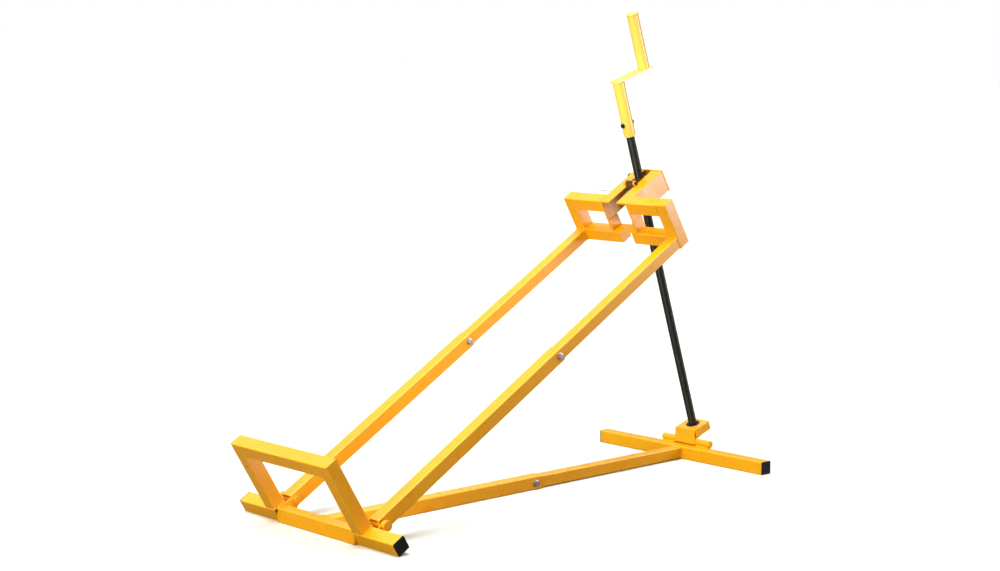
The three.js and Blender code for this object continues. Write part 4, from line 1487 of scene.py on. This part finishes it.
@dataclass(frozen=True)
class HeadFrame:
    """The head: two rectangular frames, the two angle profiles between them and their fittings."""

    x: float = 1378.0
    top: float = 150.0
    inner: float = 171.5
    split: float = 25.0
    plate: float = 45.0
    bridge_thick: float = 3.0
    channel_out: float = 55.0
    channel_wall: float = 6.0
    channel_low: float = 80.0
    channel_end: float = 1558.0
    front_thick: float = 4.0
    slot: float = 15.0
    nut_pivot: tuple[float, float] = (1473.0166, 157.567)
    lug_r: float = 8.0
    lug_thick: float = 6.0
    lug_bore: float = 4.3
    nut_pin_r: tuple[float, float] = (4.0, 5.5)
    nut_pin_head: float = 3.0
    screw: tuple[float, float] = (1534.0, 139.0)
    screw_r: float = 4.0
    screw_head: tuple[float, float] = (9.5, 9.5)
    screw_bevel: float = 1.2
    lock: tuple[float, float] = (1440.0, 137.0)
    lock_start: float = 44.0
    lock_end: float = 66.0
    lock_r: float = 4.0
    collar: tuple[float, float] = (57.0, 60.0)
    collar_r: float = 6.5
    wire_r: float = 1.25
    ring_r: float = 12.0
    ring_out: float = 128.0

    def build(self, bench: Bench) -> None:
        """Makes the head.

        Args:
            bench: the bench that makes and dresses its pieces.
        """
        jig = Jig(bench, TILTED, Body.ARM)
        for name, sign in SIDES:
            self.frame(jig, name, sign)
            self.channel(jig, name, sign)
        self.bridge(jig)
        self.fittings(jig)
        self.locking_pin(jig)

    def frame(self, jig: Jig, name: str, sign: int) -> None:
        """Makes one side's post, two bars and inner plate, and the welds that join them.

        Args:
            jig: the jig for the arm.
            name: the side's name.
            sign: 1 for the left side, -1 for the right.
        """
        tube, half, gap = STOCK.tube, STOCK.tube / 2, STOCK.gap
        x, middle, end = self.x + half, self.inner + half, self.inner - gap
        hollow = Hole(square(x, middle, STOCK.insert, 1.2), self.top - STOCK.wall)
        side = rectangle((self.x, self.x + tube), (tube + gap, self.channel_low - gap))
        shells = {
            "post": carried(Axis.Z, square(x, middle, tube, STOCK.corner), 0.0, self.top, [hollow], 0.9, 0.6),
            "top_bar": STOCK.bar(Axis.Y, x, self.top - half, self.channel_out + gap, end, hollow=False),
            "low_bar": STOCK.bar(Axis.Y, x, half, self.split, end, hollow=False),
            "inner_plate": carried(Axis.Y, side, self.plate, self.channel_out, (), 0.9, 1.0),
        }
        for part, shell in shells.items():
            jig.make(f"head_{part}_{name}", shell.sided(sign))
        near, far = self.x + 1.5, self.x + tube - 1.5
        low, high = tube + 0.6, self.top - tube - 0.6
        beads = [run((near, y, z), (far, y, z), 2.1)
                 for y in (self.inner - 0.6, self.channel_out + 0.6) for z in (low, high)]
        front, y = far + 1.8, self.channel_out + 0.6
        beads.append(run((front, y, self.top - tube + 2), (front, y, self.top - 2), 2.1))
        jig.weld(f"head_welds_{name}", [shell.sided(sign) for shell in beads])

    def channel(self, jig: Jig, name: str, sign: int) -> None:
        """Makes one side's angle profile and the nut's lug on top of it.

        Args:
            jig: the jig for the arm.
            name: the side's name.
            sign: 1 for the left side, -1 for the right.
        """
        out, low, top, slot = self.channel_out, self.channel_low, self.top, self.slot
        side, under = out - self.channel_wall, top - self.channel_wall
        corners = [(side, low), (out, low), (out, top), (slot, top), (slot, under), (side, under)]
        profile = eased(corners, [0.8, 0.8, 3.0, 0.8, 0.8, 1.5], support=0.8)
        bar = carried(Axis.X, profile, self.x, self.channel_end - STOCK.gap, (), 0.6, 0.8)
        jig.make(f"channel_{name}", bar.sided(sign))
        nx, nz = self.nut_pivot
        foot = [(nx - self.lug_r, top + STOCK.gap), (nx + self.lug_r, top + STOCK.gap)]
        boss = arc(nx, nz, self.lug_r, 0, 180, 28)
        outline = eased([*foot, *boss], [0.0] * (2 + len(boss)))
        bore = Hole(circle(nx, nz, self.lug_bore))
        lug = carried(Axis.Y, outline, slot, slot + self.lug_thick, [bore], 0.5, 0.6)
        level = top + 0.5
        rows = [run((nx - 7, y, level), (nx + 7, y, level), 1.2)
                for y in (slot + 0.4, slot + self.lug_thick + 0.2)]
        jig.make(f"nut_lug_{name}", [shell.sided(sign) for shell in (lug, *rows)])

    def bridge(self, jig: Jig) -> None:
        """Makes the plate across the split and the plate that closes the profiles' front.

        Args:
            jig: the jig for the arm.
        """
        out, end, low = self.channel_out, self.channel_end, STOCK.tube + STOCK.gap
        half = self.plate - STOCK.gap
        across = rectangle((-half, half), (low, low + self.bridge_thick), 0.5)
        jig.make("head_bridge_plate", carried(Axis.X, across, self.x, self.x + STOCK.tube, (), 0.5, 0.7))
        front = rectangle((-out, out), (self.channel_low, self.top), 2.0)
        face = carried(Axis.X, front, end, end + self.front_thick, (), 0.6, 1.0)
        round_it = rectangle((-out - 0.4, out + 0.4), (self.channel_low - 0.4, self.top + 0.4), 2.4)
        weld = bead(seam_path(Axis.X, round_it, end - 0.1), 1.3, normal=(1, 0, 0))
        jig.make("channel_front_plate", [face, weld])

    def fittings(self, jig: Jig) -> None:
        """Makes the stop screw and the nut's pin.

        Args:
            jig: the jig for the arm.
        """
        start, r, bevel = self.channel_out + STOCK.gap, self.screw_r, self.screw_bevel
        head_r, head = self.screw_head
        end = start + head
        profile = [(0, STOCK.tube), (r, STOCK.tube), (r, start), (head_r, start), (head_r, end - bevel),
                   (head_r - bevel, end), (0, end)]
        jig.make("channel_screw", turned(Axis.Y, profile, self.screw, 0.6), Finish.DARK)
        neck = self.slot + self.lug_thick + STOCK.gap
        pin = headed(*self.nut_pin_r, neck, self.nut_pin_head, (0.8, 1.0))
        jig.make("nut_pin", turned(Axis.Y, pin, self.nut_pivot, 0.4), Finish.DARK)

    def locking_pin(self, jig: Jig) -> None:
        """Makes the locking pin with its collar, and its wire ring: two half circles joined by straights.

        Args:
            jig: the jig for the arm.
        """
        (x, z), r, end = self.lock, self.lock_r, self.lock_end
        low, high = self.collar
        start, collar = self.lock_start, self.collar_r
        profile = [(0, start), (r - 0.6, start), (r, start + 1.2), (r, low), (collar, low), (collar, high),
                   (r, high), (r, end - 1.2), (r - 1.2, end), (0, end)]
        jig.make("lock_pin", turned(Axis.Y, profile, self.lock, 0.35), Finish.ZINC)
        bend = self.ring_r
        near, far = end + self.wire_r + STOCK.gap + bend, self.ring_out - bend
        flat = np.vstack([arc(x, far, bend, 0, 180, 24), arc(x, near, bend, 180, 360, 24)])
        path = np.column_stack([flat, np.full(len(flat), z)])
        jig.make("lock_pin_ring", wire(path, self.wire_r), Finish.ZINC)


@dataclass(frozen=True)
class WheelStop:
    """The upright frame at the arm's foot that the mower's wheels lean on."""

    inner: float = 171.5
    top: float = 266.0
    stub_out: float = 335.0
    hinge: tuple[float, float] = (70.0, 20.0)
    lug: tuple[float, float] = (1.0, 6.0)
    lug_boss: float = 12.0
    lug_bore: float = 7.1
    lug_foot: tuple[float, float] = (21.0, 8.0)
    bar_ends: float = 100.0
    leg_ends: float = 140.0

    def build(self, bench: Bench) -> None:
        """Makes the stop.

        Args:
            bench: the bench that makes and dresses its pieces.
        """
        jig = Jig(bench, TILTED, Body.STOP)
        half, gap, tube = STOCK.tube / 2, STOCK.gap, STOCK.tube
        middle, level = self.inner + half, self.top - half
        bar = STOCK.bar(Axis.Y, half, level, -middle, middle, hollow=False, ease=0.3)
        jig.make("stop_top_bar", bar.bent(lambda p: mitred(p, 1, 2, self.bar_ends, level)))
        for name, sign in SIDES:
            leg = STOCK.bar(Axis.Z, half, middle, tube + gap, level - 0.2, hollow=False, ease=0.3)
            leg = leg.bent(lambda p: mitred(p, 2, 1, self.leg_ends, middle))
            jig.make(f"stop_leg_{name}", leg.sided(sign))
            stub = STOCK.bar(Axis.Y, half, half, self.inner, self.stub_out - gap)
            jig.make(f"stop_stub_{name}", stub.sided(sign))
            jig.make(f"stop_cap_{name}", CAP.shell(half, half, self.stub_out).sided(sign), Finish.CAP)
            jig.make(f"stop_lug_{name}", self.hinge_lug().sided(sign))
            jig.weld(f"stop_welds_{name}", [shell.sided(sign) for shell in self.beads()])

    def hinge_lug(self) -> Shell:
        """The left lug that hangs the stop on the rear pin.

        Returns:
            The lug's shell.
        """
        edge, outer = STOCK.tube + STOCK.gap, self.inner + STOCK.tube
        boss = arc(*self.hinge, self.lug_boss, -90, 112.5, 24)
        corners = [*((edge, level) for level in self.lug_foot), *boss]
        outline = eased(corners, [1.0, 1.0, *([0.0] * len(boss))])
        low, high = self.lug
        bore = Hole(circle(*self.hinge, self.lug_bore))
        return carried(Axis.Y, outline, outer + low, outer + high, [bore], 0.6, 0.8)

    def beads(self) -> list[Shell]:
        """The left side's beads: round the leg's foot, under the top bar and along the lug.

        Returns:
            A shell for each bead.
        """
        tube, half = STOCK.tube, STOCK.tube / 2
        inside, under = self.inner - 0.4, self.top - tube - 0.4
        front, beside = tube + 0.5, self.inner + tube + 3.5
        return [
            seam(Axis.Z, half, self.inner + half, tube, tube + 0.5, 2.0),
            run((1.5, inside, under), (tube - 1.5, inside, under), 2.2),
            run((front, beside, 9.0), (front, beside, half), 1.6),
        ]


@dataclass(frozen=True)
class FootBracket:
    """The bracket on the foot's hinge: barrel, plate, bored block and thrust bearing."""

    half: float = 41.0
    barrel_r: tuple[float, float] = (5.1, 11.0)
    plate: tuple[tuple[float, float], ...] = ((-14.3, -2.0), (1.5, 40.0), (4.7, 40.0), (-11.0, -2.0))
    plate_beads: tuple[tuple[float, float], ...] = ((-8.6, 9.2), (4.9, 12.0))
    offset: float = 40.0
    bore: float = 13.3
    counterbore: tuple[float, float] = (27.0, 8.5)
    block_p: tuple[float, float] = (5.0, 73.0)
    block_s: tuple[float, float] = (12.0, 40.0)
    race_r: float = 21.5
    groove_r: tuple[float, float] = (16.8, 18.5)
    groove: float = 1.5

    def build(self, bench: Bench) -> None:
        """Makes the bracket.

        Args:
            bench: the bench that makes and dresses its pieces.
        """
        jig = Jig(bench, LEANING, Body.BRACKET)
        half = self.half
        barrel = sleeve(Axis.Y, *self.barrel_r, -half, half, (0.0, 0.0), 0.8)
        plate = carried(Axis.Y, eased(self.plate, 0.5, support=0.3), -half, half, (), 0.5, 0.3)
        fillets = [run((x, 3 - half, z), (x, half - 3, z), 1.8) for x, z in self.plate_beads]
        jig.make("foot_bracket", [barrel, plate, *fillets])
        hole = Hole(circle(self.offset, 0, self.bore, 64), None, self.counterbore)
        outline = rectangle(self.block_p, (-half, half), 1.6)
        jig.make("bearing_block", carried(Axis.Z, outline, *self.block_s, [hole], 1.2, 0.8))
        low, high = self.counterbore[0] + STOCK.gap, self.block_s[1] - STOCK.gap
        inner, outer = self.groove_r
        floor = high - self.groove
        race = [(self.bore, low), (self.race_r, low), (self.race_r, high), (outer + 0.4, high),
                (outer, floor), (inner, floor), (inner - 0.4, high), (self.bore, high)]
        jig.make("thrust_bearing", turned(Axis.Z, race, (self.offset, 0.0), 0.35, True), Finish.DARK)


@dataclass(frozen=True)
class LiftSpindle:
    """The threaded spindle with its lock nut, socket, crank and grip."""

    offset: float = 40.0
    radius: float = 13.2
    low: float = -8.0
    top: float = 1150.0
    thread: tuple[float, float] = (41.0, 1012.0)
    depth: float = 1.2
    pitch: float = 5.0
    root_under: float = 1.3
    nut_flats: float = 36.0
    nut: tuple[float, float] = (11.7, -3.0)
    socket: tuple[float, float] = (1008.0, 1179.4)
    socket_r: float = 18.0
    bore: float = 13.5
    bolt_s: float = 1046.5
    bolt_r: float = 4.0
    bolt_flats: float = 13.0
    bolt_head: float = 5.5
    bolt_proud: float = 8.0
    nut_bore: float = 3.4
    bar_thick: float = 4.0
    bar_half: float = 21.0
    bar_ends: tuple[float, float] = (23.0, 178.0)
    throw: float = 118.0
    pin_r: float = 6.0
    pin_hole: float = 6.3
    rivet: tuple[float, float] = (8.0, 2.0)
    grip_bore: float = 6.1
    grip_r: float = 17.2
    grip_cap: float = 18.4
    cap_thick: float = 5.0
    cap_bevel: tuple[float, float] = (2.3, 1.4)
    grip_top: float = 1350.0

    def build(self, bench: Bench) -> None:
        """Makes the spindle, the crank and the grip.

        Args:
            bench: the bench that makes and dresses its pieces.
        """
        jig = Jig(bench, LEANING, Body.SPINDLE)
        self.screw(jig)
        self.crank(jig)
        self.handle(jig, Jig(bench, LEANING, Body.GRIP))

    def screw(self, jig: Jig) -> None:
        """Makes the threaded spindle and its lock nut.

        Args:
            jig: the jig for what turns with the spindle.
        """
        at = (self.offset, 0.0)
        full, root, low, top = self.radius, self.radius - self.root_under, self.low, self.top
        start, end = self.thread
        thread = turned_to(threaded(full, self.depth, self.pitch, start, end), Axis.Z, at)
        profile = [(0, low), (full - self.depth, low), (full, low + self.depth), (full, start + 2),
                   (root, start + 3), (root, top - 1.5), (root - 1, top), (0, top)]
        jig.make("spindle", [thread, turned(Axis.Z, profile, at, 0.3)], Finish.DARK)
        nut = hexed(Axis.Z, self.nut_flats, *self.nut, at, True, self.bore)
        jig.make("spindle_lock_nut", nut, Finish.DARK)

    def crank(self, jig: Jig) -> None:
        """Makes the socket, its bolt, the bar and their weld.

        Args:
            jig: the jig for what turns with the spindle.
        """
        at, level, reach = (self.offset, 0.0), (0.0, self.bolt_s), self.socket_r + STOCK.gap
        # The socket and bar take the paler copy of the yellow coat: painted light.
        socket = sleeve(Axis.Z, self.bore, self.socket_r, *self.socket, at, 0.5, 72)
        jig.make("crank_socket", socket, Finish.YELLOW_PAINTED_LIGHT)
        r, end = self.bolt_r, reach + self.bolt_proud
        shank = [(0, -reach - 2), (r, -reach - 2), (r, end - 0.6), (r - 0.8, end), (0, end)]
        shells = [
            hexed(Axis.X, self.bolt_flats, -reach, -reach - self.bolt_head, level),
            hexed(Axis.X, self.bolt_flats, reach, reach + self.bolt_head, level, True, self.nut_bore),
            turned(Axis.X, shank, level, 0.3),
        ]
        jig.make("crank_bolt", [shell.moved(x=self.offset) for shell in shells], Finish.DARK)
        base = self.socket[1] + STOCK.gap
        outline = rectangle(self.bar_ends, (-self.bar_half, self.bar_half), 2.0)
        hole = Hole(circle(self.offset + self.throw, 0, self.pin_hole))
        bar = carried(Axis.Z, outline, base, base + self.bar_thick, [hole], 0.8, 1.0)
        ring = bead(seam_path(Axis.Z, circle(self.offset, 0, self.socket_r + 0.2), base - 1.0), 1.2)
        jig.make("crank_bar", [bar, ring], Finish.YELLOW_PAINTED_LIGHT)

    def handle(self, jig: Jig, turning: Jig) -> None:
        """Makes the pin through the grip, with its closed top, and the grip's sleeve.

        Args:
            jig: the jig for what turns with the spindle.
            turning: the jig for what turns on the pin.
        """
        at = (self.offset + self.throw, 0.0)
        foot, top, r, cap = self.socket[1], self.grip_top + STOCK.gap, self.pin_r, self.grip_cap
        rivet_r, rivet = self.rivet
        bevel, rise = self.cap_bevel
        end = top + self.cap_thick
        profile = [(0, foot - rivet), (rivet_r - 0.6, foot - rivet), (rivet_r, foot - rivet + 0.7),
                   (rivet_r, foot), (r, foot), (r, top), (cap, top), (cap, end - rise),
                   (cap - bevel, end), (0, end)]
        pin = turned(Axis.Z, profile, at, [0, 0.2, 0.2, 0.2, 0.2, 0.2, 0.8, 0.8, 0.8, 0])
        # The pin and grip sleeve take the paler copy of the yellow coat: painted light.
        jig.make("grip_pin", pin, Finish.YELLOW_PAINTED_LIGHT)
        low = foot + self.bar_thick + 2 * STOCK.gap
        grip = sleeve(Axis.Z, self.grip_bore, self.grip_r, low, self.grip_top, at, 0.8, 72)
        turning.make("grip_sleeve", grip, Finish.YELLOW_PAINTED_LIGHT)


@dataclass(frozen=True)
class TravellingNut:
    """The nut that climbs the spindle, with its prongs and the link and barrel it hangs the head on."""

    offset: float = 40.0
    bore: float = 13.5
    block: tuple[tuple[float, float], ...] = ((20.0, 60.0), (-22.0, 22.0), (-50.0, -20.0))
    half: float = 13.0
    barrel_r: tuple[float, float] = (4.1, 7.5)
    link: tuple[tuple[float, float], ...] = ((-7.5, 0.0), (-7.5, -12.0), (22.0, -50.0), (22.0, -20.0),
                                             (7.5, 0.0))
    prong: tuple[float, float] = (22.0, 33.0)
    prong_s: tuple[float, float] = (-35.0, 2.5)

    def build(self, bench: Bench) -> None:
        """Makes the nut.

        Args:
            bench: the bench that makes and dresses its pieces.
        """
        x, y, s = self.block
        hole = Hole(circle(self.offset, 0, self.bore, 64))
        half = self.half
        shells = [
            carried(Axis.Z, rectangle(x, y, 2.0), *s, [hole], 1.0, 0.8),
            carried(Axis.Y, eased(self.link, [0, 2, 0, 0, 2]), -half, half, (), 0.8, 0.8),
            sleeve(Axis.Y, *self.barrel_r, -half, half, (0.0, 0.0), 0.6),
            self.near_prong(),
            self.near_prong().bent(self.across).outward(),
        ]
        Jig(bench, PIVOTED, Body.NUT).make("nut_block", shells, Finish.NUT)

    def near_prong(self) -> Shell:
        """The prong on the near side of the thread: a bar hollowed by the bore, with blunt lips.

        Returns:
            The prong's shell.
        """
        back, lip = self.prong
        open_to = math.degrees(math.acos((self.offset - lip) / self.bore))
        hollow = arc(self.offset, 0, self.bore, 180 + open_to, 180 - open_to, 20)
        corners = [(back, -self.half), (lip, -self.half), *hollow, (lip, self.half), (back, self.half)]
        radii = [1.5, 0.2, *([0.0] * len(hollow)), 0.2, 1.5]
        return carried(Axis.Z, eased(corners, radii, support=0.3), *self.prong_s, (), 0.4, 0.3)

    def across(self, points: np.ndarray) -> np.ndarray:
        """Points on the other side of the thread: p goes to twice the offset less p."""
        return points * np.array([-1.0, 1.0, 1.0]) + np.array([2 * self.offset, 0.0, 0.0])


# Studio


@dataclass(frozen=True)
class Lamp:
    """A soft far light: where it comes from, its strength, its tint and how wide it looks."""

    name: str
    source: Triple
    strength: float
    tint: Triple
    width: float

    def hang(self) -> None:
        """Adds the light to the scene."""
        data = bpy.data.lights.new(self.name, "SUN")
        data.energy = self.strength
        data.color = self.tint
        data.angle = math.radians(self.width)
        hung(self.name, data, (0.0, 0.0, 3.0), Vector(self.source))


@dataclass(frozen=True)
class Panel:
    """A soft box: its place, the point it faces, its size in metres, its radiance and its tint.

    Its first side lies along the direction along, or level if that is left out.
    """

    name: str
    place: Triple
    faces: Triple
    size: tuple[float, float]
    radiance: float
    tint: Triple
    along: Triple | None = None

    def hang(self) -> None:
        """Adds the light to the scene: its power is pi * area * radiance."""
        data = bpy.data.lights.new(self.name, "AREA")
        data.shape = "RECTANGLE"
        data.size, data.size_y = self.size
        data.energy = math.pi * self.size[0] * self.size[1] * self.radiance
        data.color = self.tint
        hung(self.name, data, self.place, Vector(self.place) - Vector(self.faces), self.along)


@dataclass(frozen=True)
class Snoot:
    """A narrow soft spot: its place, the point it lights, its power, tint, half angle and soft edge."""

    name: str
    place: Triple
    faces: Triple
    power: float
    tint: Triple
    half: float
    blend: float = 1.0
    width: float = 0.25

    def hang(self) -> None:
        """Adds the light to the scene."""
        data = bpy.data.lights.new(self.name, "SPOT")
        data.energy = self.power
        data.color = self.tint
        data.spot_size = math.radians(2 * self.half)
        data.spot_blend = self.blend
        data.shadow_soft_size = self.width
        hung(self.name, data, self.place, Vector(self.place) - Vector(self.faces))


def hung(name: str, data: bpy.types.Light, place: Sequence[float], back: Vector,
         along: Sequence[float] | None = None) -> None:
    """Puts a light at a place; the camera never sees it.

    Args:
        name: the light's name.
        data: its data.
        place: where it hangs.
        back: the direction of its back, its own Z axis.
        along: the direction of its own X axis, level if None.
    """
    lamp = bpy.data.objects.new(name, data)
    lamp.location = place
    lamp.rotation_mode = "QUATERNION"
    lamp.rotation_quaternion = back.to_track_quat("Z", "Y")
    if along is not None:
        third = back.normalized()
        first = (Vector(along) - third * third.dot(Vector(along))).normalized()
        lamp.rotation_quaternion = Matrix((first, third.cross(first), third)).transposed().to_quaternion()
    lamp.visible_camera = False
    bpy.context.scene.collection.objects.link(lamp)


@dataclass(frozen=True)
class Studio:
    """The camera at the photograph's viewpoint, a pale floor and soft light."""

    eye: Triple = (-3.69850, -3.99760, 1.25872)
    yaw: float = 47.54666
    pitch: float = -6.81807
    lens: float = 68.7512
    sensor: float = 36.0
    sight: float = 100.0
    floor_reach: float = 60.0
    ambient: float = 0.16
    floor_tone: float = 0.85
    floor_bounce: float = 0.12
    lamps: tuple[Lamp | Panel | Snoot, ...] = (
        Lamp("top", (-0.30, 0.0, 1.0), 3.7, (0.92, 1.0, 0.86), 50.0),
        Lamp("front", (-1.0, -0.15, 0.08), 3.6, (1.0, 0.95, 0.90), 45.0),
        Lamp("side", (0.05, -1.0, 0.25), 0.30, (1.0, 0.35, 0.3), 60.0),
        Lamp("back", (0.2, 0.73, 0.64), 0.7, (1.0, 1.0, 1.0), 70.0),
        Panel("right", (3.2, -2.6, 1.25), (0.4, 0.0, 0.7), (1.4, 1.5), 12.5, (0.84, 0.84, 0.96)),
        Panel("strip", (-0.1758, -0.16, 0.3276), (-0.1758, 0.0, 0.3276), (1.20, 0.10), 3.4, (1.0, 0.75, 0.7),
              (0.8625, 0.0, 0.506)),
        Snoot("head_spot", (-2.6, -0.3, 0.25), (0.5, 0.0, 0.8), 75.0, (1.0, 0.9, 0.6), 9.0),
        Snoot("crank_spot", (-2.2, -1.6, 0.6), (0.40, 0.0, 1.22), 430.0, (0.60, 1.0, 0.75), 5.5),
    )

    def build(self) -> None:
        """Sets the camera, the lamps, the surroundings and the floor."""
        self.camera()
        for lamp in self.lamps:
            lamp.hang()
        self.surroundings()
        self.floor()
        bpy.context.scene.view_settings.view_transform = "Standard"
        bpy.context.scene.view_settings.look = "None"

    def camera(self) -> None:
        """Stands the camera at the photograph's viewpoint: forward is (cos y cos p, sin y cos p, sin p)."""
        data = bpy.data.cameras.new("viewpoint")
        data.sensor_width = self.sensor
        data.sensor_fit = "HORIZONTAL"
        data.lens = self.lens
        data.clip_end = self.sight
        camera = bpy.data.objects.new("viewpoint", data)
        yaw, pitch = math.radians(self.yaw), math.radians(self.pitch)
        ahead = Vector((math.cos(yaw) * math.cos(pitch), math.sin(yaw) * math.cos(pitch), math.sin(pitch)))
        camera.location = self.eye
        camera.rotation_mode = "QUATERNION"
        camera.rotation_quaternion = ahead.to_track_quat("-Z", "Y")
        bpy.context.scene.collection.objects.link(camera)
        bpy.context.scene.camera = camera

    def surroundings(self) -> None:
        """Makes the surroundings: white as seen, and dimmer as light."""
        world = bpy.data.worlds.new("white_room")
        world.use_nodes = True
        tree = world.node_tree
        tree.nodes.clear()
        seen = tree.nodes.new("ShaderNodeBackground")
        seen.inputs["Color"].default_value = (1, 1, 1, 1)
        seen.inputs["Strength"].default_value = 1.0
        light = tree.nodes.new("ShaderNodeBackground")
        light.inputs["Color"].default_value = (1, 1, 1, 1)
        light.inputs["Strength"].default_value = self.ambient
        path = tree.nodes.new("ShaderNodeLightPath")
        mix = tree.nodes.new("ShaderNodeMixShader")
        output = tree.nodes.new("ShaderNodeOutputWorld")
        tree.links.new(path.outputs["Is Camera Ray"], mix.inputs[0])
        tree.links.new(light.outputs[0], mix.inputs[1])
        tree.links.new(seen.outputs[0], mix.inputs[2])
        tree.links.new(mix.outputs[0], output.inputs["Surface"])
        bpy.context.scene.world = world

    def floor(self) -> None:
        """Lays a plain pale floor, wide enough to reach the horizon."""
        mesh = bpy.data.meshes.new("floor")
        reach = self.floor_reach
        corners = [(-reach, -reach, 0), (reach, -reach, 0), (reach, reach, 0), (-reach, reach, 0)]
        mesh.from_pydata(corners, [], [(0, 1, 2, 3)])
        item = bpy.data.objects.new("floor", mesh)
        material = bpy.data.materials.new("pale_floor")
        material.use_nodes = True
        nodes, links = material.node_tree.nodes, material.node_tree.links
        shader = nodes["Principled BSDF"]
        tone = nodes.new("ShaderNodeMix")
        tone.data_type = "RGBA"
        tone.inputs[6].default_value = (self.floor_bounce,) * 3 + (1.0,)
        tone.inputs[7].default_value = (self.floor_tone,) * 3 + (1.0,)
        links.new(nodes.new("ShaderNodeLightPath").outputs["Is Camera Ray"], tone.inputs["Factor"])
        links.new(tone.outputs[2], shader.inputs["Base Color"])
        shader.inputs["Roughness"].default_value = 0.9
        shader.inputs["Specular IOR Level"].default_value = 0.0
        mesh.materials.append(material)
        bpy.context.scene.collection.objects.link(item)


def main() -> None:
    """Builds the lift's looks in order."""
    logging.basicConfig(level=logging.INFO, format="%(message)s")
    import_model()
    Studio().build()
    bench = Bench()
    assemblies = (LevelBase, LiftArm, HeadFrame, WheelStop, FootBracket, LiftSpindle, TravellingNut)
    for assembly in assemblies:
        assembly().build(bench)
        LOG.info("%s done, %d pieces so far", assembly.__name__, bench.count)


if __name__ == "__main__":
    main()
